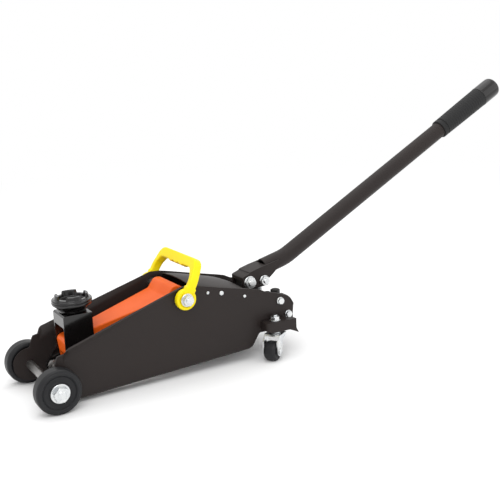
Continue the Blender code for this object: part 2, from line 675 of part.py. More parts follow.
def tube_line():
    """The centre line of the handle tube in (x, z): two straight runs joined by an arc."""
    set_back = BEND_R * math.tan((HIGH_SLOPE - LOW_SLOPE) / 2)
    low = (math.cos(LOW_SLOPE), math.sin(LOW_SLOPE))
    high = (math.cos(HIGH_SLOPE), math.sin(HIGH_SLOPE))
    first = (BEND[0] - set_back * low[0], BEND[1] - set_back * low[1])
    centre = (first[0] - BEND_R * low[1], first[1] + BEND_R * low[0])
    run = (first[0] - TUBE_START_X) / low[0]
    line = [(first[0] - run * low[0], first[1] - run * low[1])]
    line += arc(centre, BEND_R, math.degrees(LOW_SLOPE) - 90, math.degrees(HIGH_SLOPE) - 90, 6)
    reach = (GRIP_START_X - BEND[0]) / high[0] + GRIP_LENGTH - 6.0
    line.append((BEND[0] + reach * high[0], BEND[1] + reach * high[1]))
    return line


def grip_start():
    return GRIP_START_X, 0.0, BEND[1] + math.tan(HIGH_SLOPE) * (GRIP_START_X - BEND[0])


def cap_profile():
    end, bore = GRIP_LENGTH, TUBE_R + GAP
    start = GRIP_LENGTH - CAP_LENGTH
    return [
        (bore, start), (CAP_R, start), (CAP_R, end - 8.0), (CAP_R - 0.5, end - CAP_ROUND),
        (CAP_END_R, end), (3.0, end), (3.0, end - 5.0), (bore, end - 5.0),
    ]


def handle_end_x():
    """The furthest point back on the end cap."""
    c, s = math.cos(HIGH_SLOPE), math.sin(HIGH_SLOPE)
    return grip_start()[0] + max(h * c + r * s for r, h in cap_profile())


def pump_handle():
    hub("pump_handle_axis", (PIVOT[0], 0.0, PIVOT[1]), "jack")
    parent = "pump_handle_axis"
    front = PIVOT[0] - LUG_R - 0.8 - FORK_SHEET
    outline = [(front, 106.0), (front, 118.8), (front + 1.6, 120.4), (325.0, 122.3), (329.6, 124.2)]
    outline += [(330.2, 125.8), (347.2, 130.4), (361.4, 133.2), (374.9, 135.8), (384.0, 137.8)]
    outline += [(388.5, 135.5), (388.0, 130.5), (382.6, 126.7), (374.3, 119.0), (366.5, 113.0)]
    outline += [*arc(PUSHER, 9.0, 15, -75, 5), (344.0, 100.0), *arc(PIVOT, 12.0, -75, -140, 5)]
    fork = solid("handle_fork", prism(outline, -FORK_HALF, FORK_HALF), "frame_paint", parent)
    inner = FORK_HALF - FORK_SHEET
    wall = front + FORK_SHEET
    inside = [(wall, 80.0), (wall, 117.6), (325.8, 119.2), (330.8, 122.4), (347.8, 127.2), (360.0, 129.8)]
    inside += [(362.5, 170.0), (420.0, 170.0), (420.0, 80.0)]
    cut(fork, prism(inside, -inner, inner), parent)
    cut(fork, box((front - 5.0, -inner, 80.0), (wall + 1.0, inner, FORK_LIP_Z)), parent)
    cut(fork, bar(*PIVOT, STUD_R + GAP, -40, 40, 16), parent)
    cut(fork, bar(*PUSHER, STUD_R - 1.0 + GAP, -40, 40, 16), parent)

    line = tube_line()
    angles = np.arange(20) * math.pi / 10
    rings = []
    for radius, points in ((TUBE_R, line), (TUBE_R - TUBE_WALL, line[::-1])):
        for i, (x, z) in enumerate(points):
            slope = LOW_SLOPE if x < BEND[0] else HIGH_SLOPE
            near = points[max(i - 1, 0)], points[min(i + 1, len(points) - 1)]
            if 0 < i < len(points) - 1:
                slope = math.atan2(abs(near[1][1] - near[0][1]), abs(near[1][0] - near[0][0]))
            ring = []
            for a in angles:
                up, out = radius * math.sin(a), radius * math.cos(a)
                ring.append((x - up * math.sin(slope), out, z + up * math.cos(slope)))
            rings.append(ring)
    solid("handle_tube", loft(rings, closed=True), "frame_paint", parent)

    direction = (math.cos(HIGH_SLOPE), 0.0, math.sin(HIGH_SLOPE))
    bore, end = TUBE_R + GAP, GRIP_LENGTH - CAP_LENGTH - GAP
    profile = [
        (bore, 0.0), (GRIP_R - 0.8, 0.0), (GRIP_R - 0.8, 8.0), (GRIP_R, 9.0), (GRIP_R + 0.9, end * 0.5),
        (GRIP_R + 1.2, end), (bore, end),
    ]
    solid("handle_grip", turned(profile, grip_start(), direction, 32, hollow=True), "rubber", parent)
    shape = turned(cap_profile(), grip_start(), direction, 32, hollow=True)
    solid("grip_cap", shape, "rubber", parent)

    pusher_pin = STUD_R - 1.0
    low, high = -inner + GAP, inner - GAP
    ring = [(pusher_pin + GAP, low), (PUSHER_R, low), (PUSHER_R, high), (pusher_pin + GAP, high)]
    solid("pump_roller", across(ring, *PUSHER, hollow=True), "steel", parent)
    solid("roller_bolt", across(cross_bolt(pusher_pin, 7.0), *PUSHER), "zinc", parent)
    solid("handle_pivot_bolt", across(cross_bolt(STUD_R, 8.5), *PIVOT), "zinc", "jack")


def cross_bolt(radius, half):
    """A bolt through the fork, with a hexagon head on one side and its nut on the other."""
    out = FORK_HALF + GAP
    head = [(half - 0.6, -out - 6.2), (half, -out - 5.6, "hexagon"), (half, -out, "hexagon")]
    head.append((radius, -out))
    nut = [(radius, out), (half, out, "hexagon"), (half, out + 5.0, "hexagon"), (half - 0.6, out + 5.6)]
    return head + nut + [(radius, out + 5.6), (radius - 0.5, out + 7.5)]


# Carry handle ---------------------------------------------------------------------------------


def carry_handle():
    hub("carry_handle_axis", (ARM[0], 0.0, ARM[1]), "jack")
    parent = "carry_handle_axis"
    inner = WEB_Y + 1.3
    outer = inner + BOSS_W
    top, under = CARRY_RISE, CARRY_RISE - CARRY_BAR
    half = [(outer, 0.0), (outer, 31.0), (WEB_Y - 1.5, top - 9.0), (WEB_Y - 4.5, top - 2.8)]
    half.append((WEB_Y - 10.0, top))
    outline = [(-y, s) for y, s in half] + [(y, s) for y, s in half[::-1]]
    mouth = [(inner, 0.0), (inner, 30.0), (WEB_Y - 9.0, under - 3.0), (WEB_Y - 12.5, under)]
    outline += mouth + [(-y, s) for y, s in mouth[::-1]]
    up = (math.sin(CARRY_LEAN), math.cos(CARRY_LEAN))
    rings = []
    for depth in (-CARRY_DEPTH / 2, CARRY_DEPTH / 2):
        x, z = ARM[0] + depth * up[1], ARM[1] - depth * up[0]
        rings.append([(x + s * up[0], y, z + s * up[1]) for y, s in outline])
    handle = solid("carry_handle", loft(rings), "yellow", parent)
    for _, side in sides():
        boss = [(BOSS_R, inner), (BOSS_R, outer - 1.2), (BOSS_R - 1.2, outer)]
        add(handle, across(boss, *ARM, side, segments=24), parent)
        ends = sorted((side * (inner - 5.0), side * (outer + 5.0)))
        cut(handle, bar(*ARM, STUD_R + RUN, *ends, 20), parent)


# Casters --------------------------------------------------------------------------------------


def caster(name, side):
    pin = (KINGPIN[0], side * KINGPIN[1])
    web = WEB_Y + GAP
    skirt_in = LEDGE_Y - SHEET
    floor = LEDGE_Z - SHEET
    plan = [(322.0, web), (361.0, web), (374.0, LEDGE_Y - 5.0), (374.0, LEDGE_Y)]
    plan += [(328.0, LEDGE_Y), (322.0, LEDGE_Y - 6.0)]
    shape = slab([(x, side * y) for x, y in plan], floor, LEDGE_Z)
    ledge = solid(f"caster_bracket_{name}", shape, "frame_paint", "jack")
    skirt = [(328.0, LEDGE_Z - 0.5), (328.0, 46.0), (332.0, 43.5), (362.0, 43.5), (378.0, 36.5)]
    skirt += [(374.0, 45.0), (374.0, LEDGE_Z - 0.5)]
    add(ledge, prism(skirt, *sorted((side * skirt_in, side * (LEDGE_Y - 0.01)))), "jack")
    shaft = turned([(KINGPIN_R + GAP, 30.0), (KINGPIN_R + GAP, 80.0)], (*pin, 0), (0, 0, 1))
    cut(ledge, shaft, "jack")
    nut = LEDGE_Z + GAP
    head_top = FORK_TOP - FORK_ROOF - GAP
    profile = [
        (6.0, 33.5), (7.0, 34.2), (7.0, head_top), (KINGPIN_R, head_top),
        (KINGPIN_R, FORK_TOP + GAP), (7.6, FORK_TOP + GAP), (7.6, floor - GAP),
        (KINGPIN_R, floor - GAP), (KINGPIN_R, nut), (8.2, nut), (8.2, nut + 1.2),
        (6.2, nut + 1.3, "hexagon"), (6.2, nut + 6.2, "hexagon"), (5.4, nut + 6.9),
        (KINGPIN_R, nut + 6.9), (KINGPIN_R - 0.6, nut + 9.0),
    ]
    solid(f"caster_kingpin_{name}", turned(profile, (*pin, 0), (0, 0, 1)), "zinc", "jack")

    hub(f"caster_swivel_{name}_axis", (*pin, FORK_TOP), "jack")
    parent = f"caster_swivel_{name}_axis"
    trail = (math.cos(CASTER_TURN), -side * math.sin(CASTER_TURN))
    axle = (-trail[1], trail[0])

    def turn(shape):
        """Moves a shape made with the trail along x and the kingpin at the origin to its place."""
        points, faces = shape
        points = np.asarray(points, float)
        x = pin[0] + points[:, 0] * trail[0] + points[:, 1] * axle[0]
        y = pin[1] + points[:, 0] * trail[1] + points[:, 1] * axle[1]
        return np.stack([x, y, points[:, 2]], axis=1), faces

    arm_out = CASTER_W / 2 + 1.0 + FORK_CHEEK
    outline = [(-11.0, FORK_TOP), (12.0, FORK_TOP), (20.0, 30.0)]
    outline += [*arc((TRAIL, CASTER_R), 7.2, 10, -190, 8), (1.0, 32.0), (-11.0, 36.0)]
    fork = solid(f"caster_fork_{name}", turn(prism(outline, -arm_out, arm_out)), "zinc", parent)
    cheek = arm_out - FORK_CHEEK
    room = box((-30.0, -cheek, 0.0), (50.0, cheek, FORK_TOP - FORK_ROOF))
    cut(fork, turn(room), parent)
    cut(fork, turn(bar(TRAIL, CASTER_R, CASTER_PIN_R + GAP, -30, 30, 16)), parent)
    cut(fork, turned([(KINGPIN_R + RUN, 20.0), (KINGPIN_R + RUN, 60.0)], (*pin, 0), (0, 0, 1)), parent)
    centre = (pin[0] + TRAIL * trail[0], pin[1] + TRAIL * trail[1], CASTER_R)
    hub(f"caster_wheel_{name}_axis", centre, parent)
    wheel_parent = f"caster_wheel_{name}_axis"
    half = CASTER_W / 2
    bore = CASTER_PIN_R + RUN
    ring = [(CASTER_R - 3.0, half), (CASTER_R - 0.7, half - 1.0), (CASTER_R, half - 3.0)]
    ring = [(bore, -half), *((r, -h) for r, h in ring), *ring[::-1], (bore, half)]
    axis = (*axle, 0.0)
    solid(f"caster_wheel_{name}", turned(ring, centre, axis, 32, hollow=True), "wheel", wheel_parent)
    out = arm_out + GAP
    rivet = [(CASTER_PIN_R, out), (5.2, out), (5.2, out + 0.8), (4.0, out + 1.6)]
    rivet = [(r, -h) for r, h in rivet[::-1]] + rivet
    solid(f"caster_axle_{name}", turned(rivet, centre, axis, 16), "zinc", parent)


def main():
    for old in list(bpy.data.objects):
        bpy.data.objects.remove(old)
    middle = (handle_end_x() - WHEEL_R) / 2
    base = bpy.data.objects.new("jack", None)
    bpy.context.scene.collection.objects.link(base)
    base.location = (-middle * MM, 0.0, 0.0)
    places["jack"] = (0.0, 0.0, 0.0)

    for name, side in sides():
        side_plate(f"side_plate_{name}", side)
    front_end()
    arm_shaft()
    top_cover()
    tip = lift_arm()
    saddle_group()
    levelling_links()
    power_unit(tip)
    pump_handle()
    carry_handle()
    for name, side in sides():
        caster(name, side)


main()
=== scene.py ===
"""The looks of a hydraulic trolley jack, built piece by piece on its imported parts.

Sizes are in millimetres, with x rearward from the front axle, y across and z up from the floor.
A piece is a grid of points worked out as one array, then moved into the frame in metres.
"""

import json
import math

import bmesh
import bpy
import numpy as np
from mathutils import Matrix, Vector

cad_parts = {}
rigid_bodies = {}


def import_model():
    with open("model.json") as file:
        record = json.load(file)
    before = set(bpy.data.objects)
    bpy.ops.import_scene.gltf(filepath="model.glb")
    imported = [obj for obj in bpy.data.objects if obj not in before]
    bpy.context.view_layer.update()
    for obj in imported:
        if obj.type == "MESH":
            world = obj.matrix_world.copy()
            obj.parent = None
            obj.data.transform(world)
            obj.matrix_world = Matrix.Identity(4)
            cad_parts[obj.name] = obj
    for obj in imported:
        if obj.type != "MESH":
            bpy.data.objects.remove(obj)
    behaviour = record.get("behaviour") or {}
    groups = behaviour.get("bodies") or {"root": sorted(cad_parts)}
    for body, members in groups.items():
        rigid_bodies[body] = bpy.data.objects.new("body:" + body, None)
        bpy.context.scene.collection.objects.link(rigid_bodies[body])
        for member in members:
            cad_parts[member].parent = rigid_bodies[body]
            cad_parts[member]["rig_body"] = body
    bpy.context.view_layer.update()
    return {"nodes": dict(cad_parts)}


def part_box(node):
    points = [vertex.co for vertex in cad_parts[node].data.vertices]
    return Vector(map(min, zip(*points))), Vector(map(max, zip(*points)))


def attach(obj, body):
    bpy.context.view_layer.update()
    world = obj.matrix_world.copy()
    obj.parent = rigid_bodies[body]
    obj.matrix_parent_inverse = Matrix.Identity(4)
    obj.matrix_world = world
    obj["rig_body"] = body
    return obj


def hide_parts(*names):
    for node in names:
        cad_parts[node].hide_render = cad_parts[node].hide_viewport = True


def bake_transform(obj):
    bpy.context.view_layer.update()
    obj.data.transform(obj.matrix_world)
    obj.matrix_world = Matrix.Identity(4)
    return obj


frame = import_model()

MM = 0.001
TAU = 2 * math.pi
X, Y, Z = np.eye(3)
SIDES = (("left", -1.0), ("right", 1.0))
CAD_FIT = 0.02  # pieces are drawn a little inside the solids that they meet


def measured(node):
    """A node's lowest and highest corner, in millimetres from the front axle."""
    low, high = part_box(node)
    return np.array(low) / MM - AXLE, np.array(high) / MM - AXLE


def middle(node):
    low, high = measured(node)
    return (low + high) / 2


AXLE = np.zeros(3)
AXLE = middle("front_axle") * X

# Sizes shared by several pieces
WEB_Y = 56.0
SHEET = 3.0
WHEEL_Z = middle("front_axle")[2]
NOSE_R = 24.0
PEAK = np.array((196.0, 135.0))
TAIL_X = 381.0
TAIL_Z = 41.0
TAIL_R = 19.0
SLOPE_X = 19.5  # where the climb of the plates' upper edge begins
FORK_FACE = 17.2  # seat of the flanges of the fork's bolts
ARM = middle("arm_shaft")
HUB_TOP_R = 14.0
ARM_NOSE_HALF = 18.5
ARM_HUB_HALF = 34.0
LOW_SLOPE = math.radians(14.0)
HIGH_SLOPE = math.radians(28.2)
BEND = np.array((404.7, 0.0, 136.5))
BEND_R = 90.0
TUBE_R = 13.5
TUBE_START_X = 363.4  # at the edge of the fork's roof
CARRY_LEAN = math.radians(29.0)

# Edges over these angles are rounded on softened nodes, and stay sharp on fasteners (degrees)
SOFT_ANGLE = math.radians(32)
FASTENER_SHARP = 24


# Grids ----------------------------------------------------------------------------------------


def quads(rows, cols, loop_rows, loop_cols):
    """Corner numbers of the quads between neighbouring rows and columns of a grid."""
    i = np.arange(rows if loop_rows else rows - 1)[:, None]
    j = np.arange(cols if loop_cols else cols - 1)[None, :]
    below, beside = (i + 1) % rows, (j + 1) % cols
    corners = [i * cols + j, i * cols + beside, below * cols + beside, below * cols + j]
    return np.stack(corners, axis=-1).reshape(-1, 4)


def mesh_of(name, points, faces, sharp):
    """A smooth mesh with its doubles merged and its faces pointing out. Edges over this many degrees are
    sharp."""
    mesh = bpy.data.meshes.new(name)
    mesh.from_pydata((np.asarray(points) * MM + AXLE * MM).tolist(), [], faces)
    work = bmesh.new()
    work.from_mesh(mesh)
    bmesh.ops.remove_doubles(work, verts=work.verts, dist=1e-6)
    bmesh.ops.recalc_face_normals(work, faces=work.faces)
    if work.calc_volume(signed=True) < 0:
        bmesh.ops.reverse_faces(work, faces=work.faces)
    work.to_mesh(mesh)
    work.free()
    mesh.shade_smooth()
    mesh.set_sharp_from_angle(angle=math.radians(sharp))
    return mesh


def join_piece(name, mesh, body, paint, nodes=()):
    """Puts a mesh into the scene, on its body, with its finish, in place of its nodes."""
    made = bpy.data.objects.new(name, mesh)
    bpy.context.scene.collection.objects.link(made)
    mesh.materials.clear()
    mesh.materials.append(PAINTS[paint])
    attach(made, body)
    if nodes:
        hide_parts(*nodes)
    return made


def piece(name, grids, body, paint, nodes=(), sharp=40):
    """One object from grids of points. A grid goes round along its columns; its end rows are closed with
    flat faces, unless it comes as (grid, "ring"), which goes round along its rows too."""
    points, faces, first = [], [], 0
    for grid in grids if isinstance(grids, list) else [grids]:
        ring = isinstance(grid, tuple)
        grid = np.asarray(grid[0] if ring else grid, float)
        rows, cols = grid.shape[:2]
        faces += (quads(rows, cols, ring, True) + first).tolist()
        if not ring:
            faces += [list(range(first, first + cols))]
            faces += [list(range(first + (rows - 1) * cols, first + rows * cols))[::-1]]
        points.append(grid.reshape(-1, 3))
        first += rows * cols
    return join_piece(name, mesh_of(name, np.concatenate(points), faces, sharp), body, paint, nodes)


def eased(corners, reach, steps=4):
    """A path, or a stack of paths, with its inner corners eased: from the point this far before a corner
    to the one as far after it runs the parabola that has the corner as its control point. The reach is one
    number, or one for each inner corner."""
    corners = np.asarray(corners, float)
    reach = np.broadcast_to(reach, corners.shape[-2] - 2)
    t = np.linspace(0, 1, steps + 1)[:, None]
    parts = [corners[..., :1, :]]
    for k in range(1, corners.shape[-2] - 1):
        corner = corners[..., k, :]
        ends = []
        sides = [corners[..., k + step, :] - corner for step in (-1, 1)]
        lengths = [np.linalg.norm(side, axis=-1, keepdims=True) + 1e-9 for side in sides]
        limit = np.minimum(reach[k - 1], 0.45 * np.minimum(*lengths))
        for side, length in zip(sides, lengths):
            ends.append((corner + side / length * limit)[..., None, :])
        parts.append((1 - t) ** 2 * ends[0] + 2 * t * (1 - t) * corner[..., None, :] + t**2 * ends[1])
    parts.append(corners[..., -1:, :])
    return np.concatenate(parts, axis=-2)


def arc(centre, radius, start, end, steps):
    """Points (x, z) of an arc from start to end degrees about a centre."""
    angle = np.radians(np.linspace(start, end, steps + 1))
    return np.stack([centre[0] + radius * np.cos(angle), centre[-1] + radius * np.sin(angle)], axis=-1)


def axes_of(axis):
    """Two unit vectors square to an axis, and the axis itself."""
    axis = np.asarray(axis, float) / np.linalg.norm(axis)
    side = np.cross(axis, Y if abs(axis[1]) < 0.9 else X)
    side /= np.linalg.norm(side)
    return side, np.cross(axis, side), axis


def turned(profile, start, axis, segments=64, shape=None):
    """Rings round an axis from stations of (radius, height along it). A shape function changes the radii
    and heights from (radius, height, angle)."""
    radius, height = np.asarray(profile, float).T[:, :, None]
    angle = (np.arange(segments) * TAU / segments)[None, :]
    if shape:
        radius, height = shape(radius, height, angle)
    side, other, along = axes_of(axis)
    radius, height = np.broadcast_arrays(radius + 0 * angle, height + 0 * angle)
    round_it = np.cos(angle)[..., None] * side + np.sin(angle)[..., None] * other
    return np.asarray(start, float) + radius[..., None] * round_it + height[..., None] * along


def swept(path, section, across):
    """A closed section of (outward, across) offsets carried along a path. Outward is square to the path
    and to the fixed direction across. The section may be one loop, or one loop for each path point."""
    path = np.asarray(path, float)
    ahead = np.gradient(path, axis=0)
    outward = np.cross(ahead, across)
    outward /= np.linalg.norm(outward, axis=1, keepdims=True)
    section = np.broadcast_to(section, (len(path), *np.shape(section)[-2:]))
    return path[:, None] + section[..., :1] * outward[:, None] + section[..., 1:] * np.asarray(across)


def round_box(half_out, half_across, corner, steps=5):
    """A loop of (outward, across): a rectangle of these half sizes with round corners. The sizes may be
    arrays."""
    angle = np.linspace(0, TAU / 4, steps + 1) + np.arange(4)[:, None] * TAU / 4
    sign_out = np.array([1, -1, -1, 1])[:, None] + 0 * angle
    sign_across = np.array([1, 1, -1, -1])[:, None] + 0 * angle
    half_out, half_across = np.asarray(half_out, float), np.asarray(half_across, float)
    out = (half_out[..., None, None] - corner) * sign_out + corner * np.cos(angle)
    side = (half_across[..., None, None] - corner) * sign_across + corner * np.sin(angle)
    return np.stack([out, side], axis=-1).reshape(*half_out.shape, -1, 2)


def circle(radius, count=32):
    angle = np.arange(count) * TAU / count
    return np.stack([radius * np.cos(angle), radius * np.sin(angle)], axis=-1)


def walled(sheet, thickness):
    """A sheet given a wall: the sheet and the same sheet moved along its normals, which are the cross
    products of its two directions, joined into one loop for each row."""
    along, across = np.gradient(sheet, axis=0), np.gradient(sheet, axis=1)
    normal = np.cross(along, across)
    normal /= np.linalg.norm(normal, axis=-1, keepdims=True) + 1e-9
    return np.concatenate([sheet, (sheet - normal * thickness)[:, ::-1]], axis=1)


def softened(node, paint, width=0.6, segments=2):
    """A node's own shape with its flat faces joined and its sharper edges rounded."""
    source = frame["nodes"][node]
    work = bmesh.new()
    work.from_mesh(source.data)
    bmesh.ops.remove_doubles(work, verts=work.verts, dist=2e-5)
    bmesh.ops.dissolve_degenerate(work, edges=work.edges, dist=2e-5)
    bmesh.ops.dissolve_limit(work, angle_limit=math.radians(1.5), verts=work.verts, edges=work.edges)
    work.verts.ensure_lookup_table()
    work.verts.index_update()
    mesh = bpy.data.meshes.new(f"{node}_soft")
    points = [tuple(v.co) for v in work.verts]
    mesh.from_pydata(points, [], [[v.index for v in f.verts] for f in work.faces])
    work.free()
    mesh.shade_smooth()
    mesh.set_sharp_from_angle(angle=SOFT_ANGLE)
    made = join_piece(f"{node}_soft", mesh, source["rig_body"], paint, [node])
    bevel = made.modifiers.new("edges", "BEVEL")
    bevel.width = width * MM
    bevel.segments = segments
    bevel.limit_method = "ANGLE"
    bevel.angle_limit = SOFT_ANGLE
    bevel.harden_normals = True
    return made


# Finishes -------------------------------------------------------------------------------------


def link(tree, source, target):
    tree.links.new(source, target)


def surface_group():
    """Slow clouds, fine grain, and what settles on faces that look up, for every finish."""
    tree = bpy.data.node_groups.new("Surface life", "ShaderNodeTree")
    for name, value in (("Cloud Scale", 12.0), ("Grain Scale", 900.0), ("Stretch", 1.0)):
        made = tree.interface.new_socket(name, in_out="INPUT", socket_type="NodeSocketFloat")
        made.default_value = value
    for name in ("Cloud", "Grain", "Settled", "Scratch"):
        tree.interface.new_socket(name, in_out="OUTPUT", socket_type="NodeSocketFloat")
    nodes = tree.nodes
    inside, outside = nodes.new("NodeGroupInput"), nodes.new("NodeGroupOutput")
    place = nodes.new("ShaderNodeTexCoord")
    cloud = nodes.new("ShaderNodeTexNoise")
    cloud.inputs["Detail"].default_value = 5.0
    link(tree, place.outputs["Object"], cloud.inputs["Vector"])
    link(tree, inside.outputs["Cloud Scale"], cloud.inputs["Scale"])
    link(tree, cloud.outputs["Fac"], outside.inputs["Cloud"])
    grain = nodes.new("ShaderNodeTexNoise")
    grain.inputs["Detail"].default_value = 2.0
    stretch = nodes.new("ShaderNodeCombineXYZ")
    stretch.inputs["Y"].default_value = 1.0
    stretch.inputs["Z"].default_value = 1.0
    link(tree, inside.outputs["Stretch"], stretch.inputs["X"])
    scaled = nodes.new("ShaderNodeVectorMath")
    scaled.operation = "MULTIPLY"
    link(tree, place.outputs["Object"], scaled.inputs[0])
    link(tree, stretch.outputs["Vector"], scaled.inputs[1])
    link(tree, scaled.outputs["Vector"], grain.inputs["Vector"])
    link(tree, inside.outputs["Grain Scale"], grain.inputs["Scale"])
    link(tree, grain.outputs["Fac"], outside.inputs["Grain"])
    face = nodes.new("ShaderNodeNewGeometry")
    parts = nodes.new("ShaderNodeSeparateXYZ")
    link(tree, face.outputs["Normal"], parts.inputs["Vector"])
    upward = nodes.new("ShaderNodeMapRange")
    upward.inputs["From Min"].default_value = 0.35
    link(tree, parts.outputs["Z"], upward.inputs["Value"])
    settled = nodes.new("ShaderNodeMath")
    settled.operation = "MULTIPLY"
    link(tree, upward.outputs["Result"], settled.inputs[0])
    link(tree, cloud.outputs["Fac"], settled.inputs[1])
    link(tree, settled.outputs["Value"], outside.inputs["Settled"])
    lines = nodes.new("ShaderNodeTexNoise")
    lines.inputs["Scale"].default_value = 55.0
    lines.inputs["Detail"].default_value = 6.0
    lines.inputs["Distortion"].default_value = 1.2
    link(tree, scaled.outputs["Vector"], lines.inputs["Vector"])
    thin = nodes.new("ShaderNodeMapRange")
    thin.inputs["From Min"].default_value = 0.66
    thin.inputs["From Max"].default_value = 0.72
    link(tree, lines.outputs["Fac"], thin.inputs["Value"])
    link(tree, thin.outputs["Result"], outside.inputs["Scratch"])
    return tree


def mixed(tree, factor, first, second):
    """A colour mix: first and second are colours or sockets, and factor is a socket."""
    mix = tree.nodes.new("ShaderNodeMix")
    mix.data_type = "RGBA"
    link(tree, factor, mix.inputs["Factor"])
    for given, socket in ((first, mix.inputs[6]), (second, mix.inputs[7])):
        if isinstance(given, tuple):
            socket.default_value = (*given, 1.0)
        else:
            link(tree, given, socket)
    return mix.outputs[2]


def ranged(tree, value, low, high):
    """A value from 0.3 to 0.7 stretched to run from low to high."""
    node = tree.nodes.new("ShaderNodeMapRange")
    node.inputs["From Min"].default_value = 0.3
    node.inputs["From Max"].default_value = 0.7
    node.inputs["To Min"].default_value = low
    node.inputs["To Max"].default_value = high
    link(tree, value, node.inputs["Value"])
    return node.outputs["Result"]


def finish(name, colour, second, rough, metallic=0.0, cloud=14.0, grain=900.0, depth=0.05, dust=0.0,
           coat=0.0, stretch=1.0, specular=0.5):
    """A Principled finish: its colour clouds between two tones, and its roughness and grain vary."""
    made = bpy.data.materials.new(name)
    made.use_nodes = True
    tree = made.node_tree
    shader = tree.nodes["Principled BSDF"]
    shader.inputs["Metallic"].default_value = metallic
    shader.inputs["Coat Weight"].default_value = coat
    shader.inputs["Coat Roughness"].default_value = 0.12
    shader.inputs["Specular IOR Level"].default_value = specular
    life = tree.nodes.new("ShaderNodeGroup")
    life.node_tree = LIFE
    life.inputs["Cloud Scale"].default_value = cloud
    life.inputs["Grain Scale"].default_value = grain
    life.inputs["Stretch"].default_value = stretch
    tone = mixed(tree, ranged(tree, life.outputs["Cloud"], 0.0, 1.0), colour, second)
    if dust:
        amount = tree.nodes.new("ShaderNodeMath")
        amount.operation = "MULTIPLY"
        amount.inputs[1].default_value = dust
        link(tree, life.outputs["Settled"], amount.inputs[0])
        tone = mixed(tree, amount.outputs["Value"], tone, DUST)
    link(tree, tone, shader.inputs["Base Color"])
    link(tree, ranged(tree, life.outputs["Cloud"], *rough), shader.inputs["Roughness"])
    bump = tree.nodes.new("ShaderNodeBump")
    bump.inputs["Strength"].default_value = 0.5
    bump.inputs["Distance"].default_value = depth * MM
    link(tree, life.outputs["Grain"], bump.inputs["Height"])
    link(tree, bump.outputs["Normal"], shader.inputs["Normal"])
    return made


DUST = (0.35, 0.33, 0.3)
LIFE = surface_group()
PAINTS = {
    "frame_paint": finish("Chassis paint", (0.0165, 0.0118, 0.0108), (0.021, 0.0155, 0.0142), (0.42, 0.55),
                          cloud=9.0, grain=700.0, depth=0.06, dust=0.02, specular=0.25),
    "arm_paint": finish("Arm paint", (0.8, 0.118, 0.006), (0.72, 0.1, 0.005), (0.38, 0.48), cloud=16.0,
                        grain=650.0, depth=0.05, dust=0.01, specular=0.25),
    "black_gloss": finish("Gloss black paint", (0.004, 0.0035, 0.0035), (0.007, 0.006, 0.006), (0.12, 0.2),
                          cloud=20.0, grain=500.0, depth=0.08, coat=0.25, specular=0.4),
    "zinc": finish("Zinc plate", (0.6, 0.62, 0.64), (0.78, 0.79, 0.78), (0.2, 0.36), 1.0, cloud=70.0,
                   grain=1500.0, depth=0.03),
    "steel": finish("Bare steel", (0.36, 0.35, 0.34), (0.46, 0.45, 0.44), (0.25, 0.4), 1.0, cloud=50.0,
                    grain=900.0, depth=0.05, stretch=6.0),
    "cast": finish("Painted casting", (0.016, 0.0145, 0.0145), (0.026, 0.024, 0.0235), (0.5, 0.68), 0.1,
                   cloud=60.0, grain=420.0, depth=0.35, dust=0.05, specular=0.3),
    "wheel": finish("Moulded wheel", (0.008, 0.0082, 0.0095), (0.0125, 0.0128, 0.0145), (0.4, 0.52),
                    cloud=30.0, grain=800.0, depth=0.06, dust=0.02, specular=0.3),
    "yellow": finish("Yellow plastic", (0.92, 0.74, 0.002), (0.88, 0.69, 0.002), (0.32, 0.42), cloud=18.0,
                     grain=1100.0, depth=0.04, specular=0.25),
    "rubber": finish("Grip rubber", (0.0085, 0.0085, 0.009), (0.013, 0.013, 0.0135), (0.5, 0.66),
                     cloud=26.0, grain=1300.0, depth=0.12, dust=0.02, specular=0.3),
    "bronze": finish("Bush bronze", (0.42, 0.25, 0.09), (0.5, 0.33, 0.14), (0.35, 0.5), 1.0, cloud=60.0),
}


# Chassis --------------------------------------------------------------------------------------


def plate_lines():
    """For each station along a side plate: x, lower edge, upper edge, how far the upper flange leans out,
    how high it is, and how wide the lower flange is."""
    turn = np.radians(np.linspace(12, 88, 22))
    rise = NOSE_R * np.sin(turn)
    nose = np.stack([-NOSE_R * np.cos(turn), WHEEL_Z - rise, WHEEL_Z + rise])
    front = np.linspace(2.0, SLOPE_X, 22)
    front_top = np.interp(front, (2.0, 5.0, 8.0, 15.5, 17.5, SLOPE_X), (56.5, 66.0, 72.0, 73.5, 77.0, 79.6))
    body = np.linspace(21.0, 352.0, 150)
    body_top = np.interp(body, (SLOPE_X, PEAK[0], 212, 228, 262, 300, 309, 322, 333, 352),
                         (80, PEAK[1], 134, 130.6, 122.4, 113.8, 111.8, 108.6, 103, 98))
    body_low = np.interp(body, (SLOPE_X, 44, 303, 309, 322, 333),
                         (4.8, 4.8, 17.5, 20, TAIL_Z - 1, TAIL_Z))
    drop = np.radians(np.linspace(72, 4, 14))
    tail_x, tail_top = TAIL_X - TAIL_R + TAIL_R * np.cos(drop), 74.5 + TAIL_R * np.sin(drop)
    tail = np.stack([tail_x, np.full(14, TAIL_Z), tail_top])
    x = np.concatenate([nose[0], front, body, tail[0]])
    low = np.concatenate([nose[1], np.interp(front, (2, SLOPE_X), (7.0, 5.0)), body_low, tail[1]])
    high = np.concatenate([nose[2], front_top, body_top, tail[2]])
    share = np.clip((x - SLOPE_X) / (PEAK[0] - SLOPE_X), 0, 1)
    ahead = np.clip((x - 15.0) / 6.0, 0, 1)
    lean = ahead * (6.0 * (1 - share) + 0.6) + 0.2
    height = np.where(x < 15, 4.0, 12.5 - 8.0 * share)
    width = np.interp(x, (-24, 10, 34, 318, 330, TAIL_X), (0.8, 3.0, 20.0, 20.0, 7.0, 7.0))
    return x, low, high, lean, height, width


